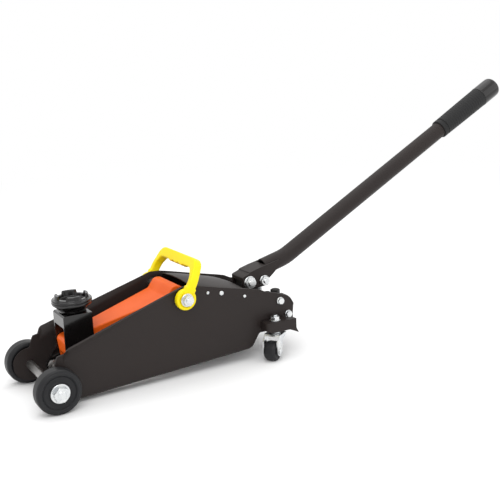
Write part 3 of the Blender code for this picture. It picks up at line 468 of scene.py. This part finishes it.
def side_plate(name, side):
    """A pressed plate. Each section runs from the lower flange's edge, round a bend, up the web and out
    along the leaning upper flange; the sections follow the plate's outline along x."""
    x, low, high, lean, height, width = plate_lines()
    zero = 0 * x
    web = WEB_Y + zero
    line = [
        (web - width, low), (web, low), (web, high - height), (web + 0.5 * lean, high - 0.42 * height),
        (web + lean, high),
    ]
    corners = np.stack([np.stack(point, axis=-1) for point in line], axis=1)
    section = eased(corners, (9.0, 3.2, 3.2), steps=7)
    sheet = np.concatenate([x[:, None, None] + 0 * section[..., :1], section], axis=-1)
    sheet[..., 1] *= side
    if side > 0:
        sheet = sheet[:, ::-1]
    piece(f"plate_{name}", walled(sheet, SHEET), "frame", "frame_paint", [f"side_plate_{name}"])


def cover_screws():
    """Pan-head screws that hold the cover and a guard to the side plates."""
    for name, side in SIDES:
        for n, (x, z, radius) in enumerate(((235.5, 119.5, 2.6), (258.0, 115.0, 3.6), (296.5, 103.5, 2.6))):
            profile = [(radius, 0), (radius, 0.5), (radius * 0.85, 1.3), (radius * 0.45, 1.8), (0.2, 1.9)]
            head = turned(eased(profile, 0.3), (x, side * WEB_Y, z), side * Y, 24)
            piece(f"cover_screw_{name}_{n}", head, "frame", "zinc")


# Fasteners ------------------------------------------------------------------------------------


def hexagon(half, angle):
    """The radius of a hexagon of this half width at each angle."""
    return half / np.cos((angle + TAU / 12) % (TAU / 6) - TAU / 12)


def hex_block(start, axis, half, height, turn=0):
    """A hexagon whose corners are cut by a cone at its outer end."""
    levels = np.concatenate([[0.0], height - np.array([2.0, 1.2, 0.8, 0.5, 0.25, 0.08, 0.0]) * half / 7])

    def shape(_, level, angle):
        cone = half + (height - level) * 1.9
        return np.minimum(hexagon(half, angle + math.radians(turn)), cone), level

    return turned(np.stack([levels + half, levels], axis=-1), start, axis, 72, shape)


def flange(start, axis, radius, height):
    profile = [(radius - 0.4, 0), (radius, 0.3), (radius, height - 0.4), (radius - 0.5, height)]
    return turned(profile, start, axis, 48)


def thread(start, axis, radius, length, pitch=1.25):
    """A screw thread: the radius falls and rises once for each pitch along the axis, offset by the turn."""
    levels = np.linspace(0, length, max(8, int(length / pitch * 10)))

    def shape(_, level, angle):
        tooth = np.abs(2 * ((level / pitch - angle / TAU) % 1.0) - 1)
        ends = np.minimum(1.0, (length - level) / pitch + 0.25)
        return (radius - 0.55 * pitch * (1 - tooth)) * (0.86 + 0.14 * ends), level

    return turned(np.stack([0 * levels + radius, levels], axis=-1), start, axis, 30, shape)


def nut_on(node, side, half, flange_r, stud_r, stud_end, paint="zinc"):
    """A flanged nut in place of a node on the y axis, and the threaded end that stands out of it."""
    low, high = measured(node)
    centre = (low + high) / 2
    inner = low[1] if side > 0 else high[1]
    start = np.array((centre[0], inner, centre[2]))
    height = high[1] - low[1]
    washer = 1.5
    grids = [
        flange(start, side * Y, flange_r, washer),
        hex_block(start + side * Y * (washer - 0.2), side * Y, half, height - washer + 0.2, 15),
        thread(start + side * Y * height * 0.2, side * Y, stud_r, abs(stud_end - inner) - height * 0.2),
    ]
    piece(f"{node}_turned", grids, frame["nodes"][node]["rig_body"], paint, [node], sharp=FASTENER_SHARP)


def bolt_heads():
    """The bolts that hold the base block to the plates."""
    for name, side in SIDES:
        for row in ("front", "rear"):
            node = f"block_bolt_{name}_{row}"
            low, high = measured(node)
            centre = (low + high) / 2
            start = np.array((centre[0], side * (WEB_Y + CAD_FIT), centre[2]))
            end = abs(high[1] if side > 0 else low[1]) - WEB_Y
            grids = [
                flange(start, side * Y, 5.8, 1.4),
                hex_block(start + side * Y, side * Y, 4.6, end - 1.2, 10),
                turned([(3.0, 0), (3.0, 10)], start - side * Y * 10, side * Y, 24),
            ]
            piece(f"{node}_turned", grids, "frame", "zinc", [node], sharp=FASTENER_SHARP)


def cross_bolt(node, half):
    """A bolt with a hexagon head on the right, and a nut and its threaded end on the left."""
    low, high = measured(node)
    x, _, z = (low + high) / 2
    left, right = np.array((x, -FORK_FACE, z)), np.array((x, FORK_FACE, z))
    grids = [
        turned([(half * 0.58, 0), (half * 0.58, 2 * FORK_FACE)], left, Y, 32),
        flange(right, Y, half * 1.22, 1.3),
        hex_block(right + Y, Y, half, -low[1] - FORK_FACE - 1.0, 20),
        flange(left, -Y, half * 1.22, 1.3),
        hex_block(left - Y, -Y, half, 4.2, 10),
        thread(left - 2 * Y, -Y, half * 0.58, high[1] - FORK_FACE - 2),
    ]
    piece(f"{node}_turned", grids, frame["nodes"][node]["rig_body"], "zinc", [node], sharp=FASTENER_SHARP)


def shafts():
    """The front axle and the arm's shaft, which end inside their nuts: the threads carry on from there."""
    for node, nut, radius, stud_r in (
        ("front_axle", "axle_nut_right", 6.0, 6.0), ("arm_shaft", "arm_shaft_nut_right", 8.0, 5.0),
    ):
        reach = measured(nut)[0][1] + 2.5
        step = WEB_Y + 1.0
        half = [(radius, 0), (radius, step), (stud_r, step + 0.01), (stud_r, reach)]
        profile = [(r, -h) for r, h in half[::-1]] + half[1:]
        piece(f"{node}_turned", turned(profile, middle(node) * (1, 0, 1), Y, 48), "frame", "steel", [node])


# Wheels ---------------------------------------------------------------------------------------


def front_wheel(name, side):
    """A moulded wheel turned about the axle: tread with round shoulders, a sunk web and a hub boss."""
    low, high = measured(f"front_wheel_{name}")
    radius = (high[2] - low[2]) / 2
    width = high[1] - low[1]
    inner = min(abs(low[1]), abs(high[1]))
    face = [
        (9.2, width - 0.6), (14.0, width - 0.6), (15.2, width - 2.4), (21.8, width - 2.6),
        (23.6, width - 0.2), (24.6, width), (26.8, width), (27.6, width - 0.9),
        (radius - 1.2, width - 1.4), (radius, width - 4.2),
    ]
    back = [
        (radius, 4.2), (radius - 1.2, 1.4), (26.5, 0), (24.0, 0), (22.5, 2.0), (15.0, 2.0), (13.8, 0),
        (9.2, 0),
    ]
    profile = eased(face + back, 0.9, steps=4)
    body = f"front_wheel_{name}"
    grid = turned(profile, (0, side * inner, WHEEL_Z), side * Y, 96)
    piece(f"wheel_{name}", [(grid, "ring")], body, "wheel", [f"front_wheel_{name}"])
    bush = [(6.4, -0.4), (8.7, -0.4), (8.7, width + 0.15), (6.4, width + 0.15)]
    grid = turned(bush, (0, side * inner, WHEEL_Z), side * Y, 48)
    piece(f"bush_{name}", [(grid, "ring")], body, "bronze", [f"wheel_bush_{name}"])


def caster(name, side):
    """A caster's wheel and fork. The wheel is turned about its own axle line, found from its box's size."""
    wheel = middle(f"caster_wheel_{name}")
    pin = middle(f"caster_kingpin_{name}")
    trail = (wheel - pin) * (1, 1, 0)
    trail /= np.linalg.norm(trail)
    axle = np.cross(Z, trail)
    half, radius = 9.5, wheel[2]
    profile = [
        (3.4, -half), (6.2, -half), (7.0, -half + 1.4), (10.4, -half + 1.4), (11.4, -half),
        (radius - 2.4, -half), (radius - 0.4, -half + 2.6), (radius, -half + 5.2),
    ]
    profile += [(r, -h) for r, h in profile[::-1]]
    grid = turned(eased(profile, 0.8), wheel, axle, 72)
    wheel_node = f"caster_wheel_{name}"
    piece(f"caster_roll_{name}", [(grid, "ring")], wheel_node, "wheel", [wheel_node])
    softened(f"caster_fork_{name}", "zinc", 0.8)
    out = 13.4
    rivet = [
        (0.3, -out - 1.9), (2.6, -out - 1.8), (4.6, -out - 1.0), (5.2, -out - 0.2), (5.2, -out),
        (3.0, -out),
    ]
    rivet += [(r, -h) for r, h in rivet[::-1]]
    grid = turned(rivet, wheel, axle, 36)
    piece(f"caster_rivet_{name}", grid, f"caster_{name}", "zinc", [f"caster_axle_{name}"])
    high = measured(f"caster_kingpin_{name}")[1]
    spot = pin * (1, 1, 0)
    ledge = 59.3
    race = [
        (4.0, 40.4), (7.6, 40.4), (7.6, 46.5), (6.6, 47.0), (6.6, 48.6), (7.6, 49.2), (7.6, 55.6),
        (4.0, 55.6),
    ]
    grids = [
        turned(eased(race, 0.3), spot, Z, 40),
        turned([(3.9, 36.0), (3.9, ledge + 3)], spot, Z, 32),
        turned([(5.5, 33.6), (6.9, 34.3), (6.9, 36.6), (4.0, 36.6)], spot, Z, 32),
        flange(spot + Z * ledge, Z, 8.2, 1.2),
        hex_block(spot + Z * (ledge + 1.0), Z, 6.2, 5.6, 25 * side),
        thread(spot + Z * (ledge + 4), Z, 3.9, high[2] - ledge - 4),
    ]
    piece(f"kingpin_{name}", grids, "frame", "zinc", [f"caster_kingpin_{name}"], sharp=FASTENER_SHARP)


def caster_bracket(name, side):
    """A ledge welded to the plate, and a skirt that hangs from its edge: the skirt's sections follow the
    ledge's outline, and its lower edge dips to a fin at the rear."""
    inner, outer = WEB_Y + 0.4, WEB_Y + 20.0
    front, rear, tip = 322.5, 374.0, 378.0
    plan = eased(np.array([(front, inner), (front, outer), (rear, outer)]), 11.0, steps=9)
    straight = np.linspace(plan[-2], plan[-1], 12)[1:]
    plan = np.vstack([plan[:-1], straight, [(rear + 0.01, outer), (tip, outer)]])
    low = np.interp(plan[:, 0], (front, 330.0, 362.0, tip), (47.0, 43.5, 43.5, 36.5))
    high = np.interp(plan[:, 0], (rear, rear + 0.01, tip), (58.9, 45.0, 37.0))
    ahead = np.gradient(plan, axis=0)
    inward = np.stack([ahead[:, 1], -ahead[:, 0]], axis=1)
    inward *= SHEET / np.linalg.norm(inward, axis=1, keepdims=True)
    back = plan + inward
    loops = [np.column_stack([spot[:, 0], side * spot[:, 1], z]) for spot, z in (
        (plan, high - 0.8), (plan, low), (back, low), (back, high),
    )]
    skirt = np.stack(loops, axis=1)
    edge = np.vstack([plan[:-1] + inward[:-1] * 0.02, [(rear, outer - 7.0), (362.0, inner)]])
    ledge = np.stack([
        np.column_stack([edge[:, 0], side * edge[:, 1], 0 * edge[:, 0] + z]) for z in (56.0, 59.0)
    ])
    piece(f"bracket_{name}", [skirt, ledge], "frame", "frame_paint", [f"caster_bracket_{name}"], sharp=30)


# Lift arm and saddle --------------------------------------------------------------------------


def lift_arm():
    """A pressed channel. Its ridge line runs up the nose, along the slope, up over the hub and round
    it. Each section hangs from a ridge point: cheek, bend, top, bend, cheek."""

    def top(x):
        return 80.5 + 0.262 * (x - 39.0)

    hub = ARM[[0, 2]]
    ridge = [(34.6, 56.0), (31.6, 74.0), (34.0, top(34.0) - 0.6), (39.0, top(39.0)), (110.0, top(110.0))]
    ridge += [(180.6, top(180.6))]
    crest = arc(hub, HUB_TOP_R, 119, 52, 14)
    back = arc(hub, HUB_TOP_R, 47, 12, 6)
    ridge = eased(np.vstack([ridge, crest[:1]]), 2.2, 6)
    ridge = np.vstack([ridge, crest[1:], back])
    keep = [ridge[0]]
    for point in ridge[1:]:
        gap = np.linalg.norm(point - keep[-1])
        count = int(gap // 4.0)
        for n in range(1, count + 1):
            keep.append(keep[-1] + (point - keep[-1]) * (1 / (count - n + 2)))
        keep.append(point)
    ridge = np.array(keep)
    x = ridge[:, 0]
    foot_z = np.interp(x, (31, 36, 48, 165, 178, 190, 204, 212),
                       (48.0, 47.2, 47.4, 100.0, 105.2, 105.0, 106.0, 112.0))
    foot_x = np.interp(x, (31, 36, 48, 178, 190, 212), (34.5, 37.0, 48.0, 178.0, 190.0, 207.0))
    half = np.interp(x, (76.0, 178.0), (ARM_NOSE_HALF, ARM_HUB_HALF))
    bend = 2.4
    corners = []
    foot = np.stack([foot_x, foot_z], axis=-1)
    for side_y, spot in ((-half, foot), (-half, ridge), (half, ridge), (half, foot)):
        corners.append(np.stack([spot[:, 0], side_y, spot[:, 1]], axis=-1))
    sheet = eased(np.stack(corners, axis=1), bend, steps=7)
    piece("arm_channel", walled(sheet, 2.9), "lift_arm", "arm_paint", ["lift_arm"])


def arm_inside():
    softened("arm_hub_lever", "cast", 0.5)
    softened("lever_pin", "steel", 0.4)
    low, high = measured("lever_pin")
    tip = (low + high) / 2
    for name, side in SIDES:
        profile = eased([(4.3, 5.4), (6.4, 5.4), (7.0, 6.2), (7.0, 11.6), (6.4, 12.4), (4.3, 12.4)], 0.3)
        grid = turned(profile, tip * (1, 0, 1), side * Y, 40)
        piece(f"roller_{name}", [(grid, "ring")], "lift_arm", "steel", [f"lever_roller_{name}"])
    for node, body, outer in (("saddle_pin", "lift_arm", 6.6), ("link_pin", "saddle_bracket", 6.0)):
        centre = middle(node)
        low, high = measured(node)
        reach, face = high[1], 22.1
        profile = [
            (0.3, -reach), (outer - 1.2, -reach), (outer, -reach + 0.7), (outer, -face),
            (outer - 1.6, -face),
        ]
        profile += [(r, -h) for r, h in profile[::-1]]
        piece(f"{node}_turned", turned(profile, centre, Y, 40), body, "steel", [node])
    for name, _ in SIDES:
        softened(f"link_bar_{name}", "steel", 0.5)


def saddle():
    """A turned cup whose raised inner ring is cut into lugs: its height is held down where the angle falls
    within a slot, and its rim carries a shallow groove."""
    centre = middle("saddle") * (1, 1, 0)
    rim, lug, seat = 132.9, 139.0, 114.4
    profile = [
        (5.0, seat + 0.5), (17.6, seat), (19.0, seat + 0.6), (19.8, seat + 4.0), (24.8, rim - 9.4),
        (27.2, rim - 8.0), (28.0, rim - 6.6), (28.0, rim - 4.4), (27.2, rim - 3.9), (27.2, rim - 3.3),
        (28.0, rim - 2.8), (28.0, rim - 1.2), (27.3, rim - 0.1), (24.9, rim), (24.2, rim + 0.8),
        (23.2, lug - 0.8), (22.6, lug), (19.9, lug), (19.3, lug - 0.8),
        (18.4, rim - 2.2), (17.2, rim - 2.9), (4.0, rim - 2.9),
    ]
    profile = eased(profile, 0.5, steps=3)

    def shape(radius, level, angle):
        turn = (angle - math.radians(35)) % (TAU / 4)
        turn = np.minimum(turn, TAU / 4 - turn)
        wide = np.clip((7.5 - radius * np.sin(turn)) / 0.5, 0, 1)
        floor = rim + 1.5
        return radius, np.where(level > floor, level + (floor - level) * wide, level)

    grids = [turned(profile, centre, Z, 288, shape)]
    grids.append(turned([(5.0, 105.6), (5.0, 110.6), (5.9, 110.9), (5.9, seat + 1.0)], centre, Z, 40))
    piece("saddle_cup", grids, "saddle", "black_gloss", ["saddle"])
    softened("saddle_clip", "zinc", 0.3)
    softened("saddle_bracket", "black_gloss", 1.1, 3)


# Power unit -----------------------------------------------------------------------------------


def coil(start, end, radius, wire, turns, count=14):
    """A wire tube along a helix from start to end, its last turns closed up as a spring's are."""
    t = np.linspace(0, 1, int(turns * 22))
    side, other, along = axes_of(end - start)
    length = np.linalg.norm(end - start)
    lift = 0.5 - 0.5 * np.cos(np.pi * np.clip((t - 0.06) / 0.88, 0, 1))
    lift = 0.35 * lift + 0.65 * np.clip((t - 0.05) / 0.9, 0, 1)
    angle = t * turns * TAU
    spoke = np.cos(angle)[:, None] * side + np.sin(angle)[:, None] * other
    path = start + spoke * (radius - wire) + (wire + lift * (length - 2 * wire))[:, None] * along
    ring = circle(wire, count)
    return path[:, None] + ring[:, :1] * spoke[:, None] + ring[:, 1:] * along


def springs():
    """Return springs that stretch between the base and the push head, and the plunger's spring."""
    for name, _ in SIDES:
        node = f"return_spring_{name}"
        low, high = measured(node)
        centre = (low + high) / 2
        start, end = centre * (0, 1, 1) + X * low[0], centre * (0, 1, 1) + X * high[0]
        made = piece(f"{node}_coil", coil(start, end, 4.9, 0.75, 26, 8), "frame", "zinc", [node])
        made.parent = None
        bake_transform(made)
    low, high = measured("plunger_spring")
    centre = (low + high) / 2
    coils = coil(centre * (1, 1, 0) + Z * low[2], centre * (1, 1, 0) + Z * high[2], 8.1, 0.8, 5)
    piece("plunger_coil", coils, "pump_plunger", "zinc", ["plunger_spring"])


def power_unit():
    for node, paint, width in (
        ("base_block", "cast", 1.2), ("cylinder", "cast", 0.8), ("push_head", "cast", 0.5),
        ("ram", "steel", 0.3), ("pump_barrel", "zinc", 0.3), ("pump_plunger", "steel", 0.3),
        ("filler_plug", "rubber", 0.3), ("relief_valve_cap", "cast", 0.3),
        ("release_valve", "zinc", 0.3), ("top_cover", "frame_paint", 0.7),
        ("pump_roller", "steel", 0.3), ("link_anchor_shaft", "steel", 0.3),
    ):
        softened(node, paint, width)


# Pump handle ----------------------------------------------------------------------------------


def tube_path():
    """Two straight runs at the low and the high slope, joined by an arc."""
    set_back = BEND_R * math.tan((HIGH_SLOPE - LOW_SLOPE) / 2)
    low = np.array((math.cos(LOW_SLOPE), 0, math.sin(LOW_SLOPE)))
    high = np.array((math.cos(HIGH_SLOPE), 0, math.sin(HIGH_SLOPE)))
    first, last = BEND - set_back * low, BEND + set_back * high
    centre = first + BEND_R * np.array((-low[2], 0, low[0]))
    turn = np.linspace(LOW_SLOPE, HIGH_SLOPE, 22)[:, None] - TAU / 4
    curve = centre + BEND_R * (np.cos(turn) * X + np.sin(turn) * Z)
    start = first - low * (first[0] - TUBE_START_X) / low[0]
    end = grip_place()[0] + high * 136.0
    runs = [start + (first - start) * t for t in np.linspace(0, 0.97, 12)]
    more = [last + (end - last) * t for t in np.linspace(0.01, 1, 30)]
    return np.vstack([runs, curve, more])


def grip_place():
    """Where the grip starts and the direction that it runs in."""
    high = np.array((math.cos(HIGH_SLOPE), 0, math.sin(HIGH_SLOPE)))
    return BEND + high * (732.0 - BEND[0]) / high[0], high


def pump_handle():
    path = tube_path()
    tube = swept(path, circle(TUBE_R, 48), Y)
    bore = swept(path, circle(TUBE_R - 2.0, 48), Y)[::-1]
    piece("tube", [(np.concatenate([tube, bore]), "ring")], "pump_handle", "frame_paint", ["handle_tube"])
    softened("handle_fork", "frame_paint", 1.4, 3)
    start, along = grip_place()
    length, cap = 143.6, 105.6
    levels = np.linspace(0, cap - 0.4, 320)
    collar = np.interp(levels, (0, 0.8, 7.6, 8.4, 9.6, 10.4), (15.2, 16.0, 16.0, 14.9, 14.9, 16.0))
    outer = collar + np.interp(levels, (10, 60, 105), (0, 0.75, 1.1))
    wave = 0.5 - 0.5 * np.cos(TAU * levels / 5.2)
    fade = np.interp(levels, (14, 20, 92, 98), (0, 1, 1, 0))
    outer = outer - 0.35 * wave**3 * fade
    profile = np.vstack([[(13.6, 0)], np.stack([outer, levels], axis=-1), [(13.6, cap - 0.4)]])
    grip = turned(profile, start, along, 64)
    piece("grip", [(grip, "ring")], "pump_handle", "rubber", ["handle_grip"])
    end = [
        (13.7, cap), (16.9, cap), (17.5, cap + 0.8), (17.5, length - 9), (17.2, length - 3.2),
        (15.6, length - 0.4), (13.8, length), (4.0, length), (3.0, length - 0.6),
        (3.0, length - 5), (13.7, length - 5),
    ]
    grid = turned(eased(end, 1.2), start, along, 64)
    piece("end_cap", [(grid, "ring")], "pump_handle", "black_gloss", ["grip_cap"])
    cross_bolt("handle_pivot_bolt", 8.3)
    cross_bolt("roller_bolt", 6.8)


# Carry handle ---------------------------------------------------------------------------------


def carry_handle():
    """A moulded bow. A round-cornered section follows a path up one leg, along the bar and down the other.
    The section deepens at the bar, its inner side waves for the fingers, and it steps out at the bosses."""
    up = math.sin(CARRY_LEAN) * X + math.cos(CARRY_LEAN) * Z
    ahead = math.cos(CARRY_LEAN) * X - math.sin(CARRY_LEAN) * Z
    base = ARM * (1, 0, 1)
    half = [(61.8, 4.0), (61.8, 30.5), (50.5, 51.3)]
    corners = np.array([(-y, s) for y, s in half] + [(y, s) for y, s in half[::-1]])
    line = eased(corners, 8.0, steps=10)
    steps = np.linalg.norm(np.diff(line, axis=0), axis=1)
    run = np.concatenate([[0], np.cumsum(steps)])
    fine = np.linspace(0, run[-1], 320)
    line = np.stack([np.interp(fine, run, line[:, k]) for k in (0, 1)], axis=-1)
    y, s = line.T
    bar = np.clip((s - 36.0) / 14.0, 0, 1)
    half_out = 4.5 + 3.0 * bar
    foot = np.clip((19.0 - s) / 1.6, 0, 1)
    half_deep = 6.5 + 1.7 * foot
    loop = round_box(half_out + 0.2 * foot, half_deep, 2.2)
    fingers = np.clip((27.0 - np.abs(y)) / 6.0, 0, 1) * 1.8 * (0.5 + 0.5 * np.cos(TAU * y / 17.0)) * bar
    loop[..., 0] += fingers[:, None] * np.clip(loop[..., 0] / half_out[:, None], 0, 1)
    path = base + y[:, None] * Y + s[:, None] * up
    grids = [swept(path, loop, ahead)]
    for _, side in SIDES:
        boss = [
            (5.6, 57.4), (14.6, 57.4), (15.3, 58.2), (15.3, 64.6), (14.4, 65.9), (11.4, 66.2),
            (10.8, 65.4), (5.6, 65.4),
        ]
        grids.append((turned(eased(boss, 0.5), base, side * Y, 64), "ring"))
    piece("carry_bow", grids, "carry_handle", "yellow", ["carry_handle"])


# The whole jack -------------------------------------------------------------------------------

for name, side in SIDES:
    side_plate(name, side)
    front_wheel(name, side)
    caster(name, side)
    caster_bracket(name, side)
    nut_on(f"axle_nut_{name}", side, 9.5, 13.2, 6.0, side * 90.3)
    nut_on(f"arm_shaft_nut_{name}", side, 7.2, 9.6, 4.9, side * 75.1)
shafts()
cover_screws()
bolt_heads()
lift_arm()
arm_inside()
saddle()
springs()
power_unit()
pump_handle()
carry_handle()


# Studio ---------------------------------------------------------------------------------------


SKY = 1.0


def studio():
    """A pale floor that fades into a bright even sky, and three soft lamps."""
    bpy.ops.mesh.primitive_plane_add(size=80.0)
    floor = bpy.context.object
    floor.name = "floor"
    pale = bpy.data.materials.new("Pale floor")
    pale.use_nodes = True
    tree = pale.node_tree
    shader = tree.nodes["Principled BSDF"]
    shader.inputs["Base Color"].default_value = (0.94, 0.94, 0.94, 1.0)
    shader.inputs["Roughness"].default_value = 0.9
    shader.inputs["Specular IOR Level"].default_value = 0.1
    place = tree.nodes.new("ShaderNodeTexCoord")
    away = tree.nodes.new("ShaderNodeVectorMath")
    away.operation = "LENGTH"
    link(tree, place.outputs["Object"], away.inputs[0])
    share = tree.nodes.new("ShaderNodeMapRange")
    share.interpolation_type = "SMOOTHSTEP"
    share.inputs["From Min"].default_value = 0.75
    share.inputs["From Max"].default_value = 2.2
    link(tree, away.outputs["Value"], share.inputs["Value"])
    glow = tree.nodes.new("ShaderNodeEmission")
    glow.inputs["Strength"].default_value = SKY
    fade = tree.nodes.new("ShaderNodeMixShader")
    link(tree, share.outputs["Result"], fade.inputs["Fac"])
    link(tree, shader.outputs["BSDF"], fade.inputs[1])
    link(tree, glow.outputs["Emission"], fade.inputs[2])
    link(tree, fade.outputs["Shader"], tree.nodes["Material Output"].inputs["Surface"])
    floor.data.materials.append(pale)
    world = bpy.data.worlds.new("Studio sky")
    bpy.context.scene.world = world
    world.use_nodes = True
    world.node_tree.nodes["Background"].inputs["Color"].default_value = (1.0, 1.0, 1.0, 1.0)
    world.node_tree.nodes["Background"].inputs["Strength"].default_value = SKY
    for name, spot, size, power in (
        ("key", (-0.9, -1.3, 1.9), 1.3, 14.0), ("fill", (1.3, -1.4, 1.1), 1.6, 4.0),
        ("top", (0.0, 0.5, 2.2), 2.0, 10.0),
    ):
        lamp = bpy.data.lights.new(name, "AREA")
        lamp.energy = power
        lamp.size = size
        holder = bpy.data.objects.new(name, lamp)
        bpy.context.scene.collection.objects.link(holder)
        holder.location = spot
        holder.rotation_euler = (Vector((-0.1, 0, 0.1)) - Vector(spot)).to_track_quat("-Z", "Y").to_euler()


def camera():
    """Looks at the left side from the front, a little from above, and leans a little."""
    turn, dip, roll = math.radians(-30.44), math.radians(12.97), math.radians(-2.29)
    back = Vector((math.sin(turn) * math.cos(dip), -math.cos(turn) * math.cos(dip), math.sin(dip)))
    right = Vector((math.cos(turn), math.sin(turn), 0.0))
    up = back.cross(right)
    across = right * math.cos(roll) + up * math.sin(roll)
    upright = up * math.cos(roll) - right * math.sin(roll)
    lens = bpy.data.cameras.new("camera")
    lens.lens = 60.4
    lens.sensor_width = 36.0
    holder = bpy.data.objects.new("camera", lens)
    bpy.context.scene.collection.objects.link(holder)
    rotation = Matrix((across, upright, back)).transposed().to_4x4()
    spot = Vector((-299.8, -1092.1, 448.4)) + Vector(AXLE)
    holder.matrix_world = Matrix.Translation(spot * MM) @ rotation
    bpy.context.scene.camera = holder


studio()
camera()
bpy.context.scene.view_settings.view_transform = "Standard"
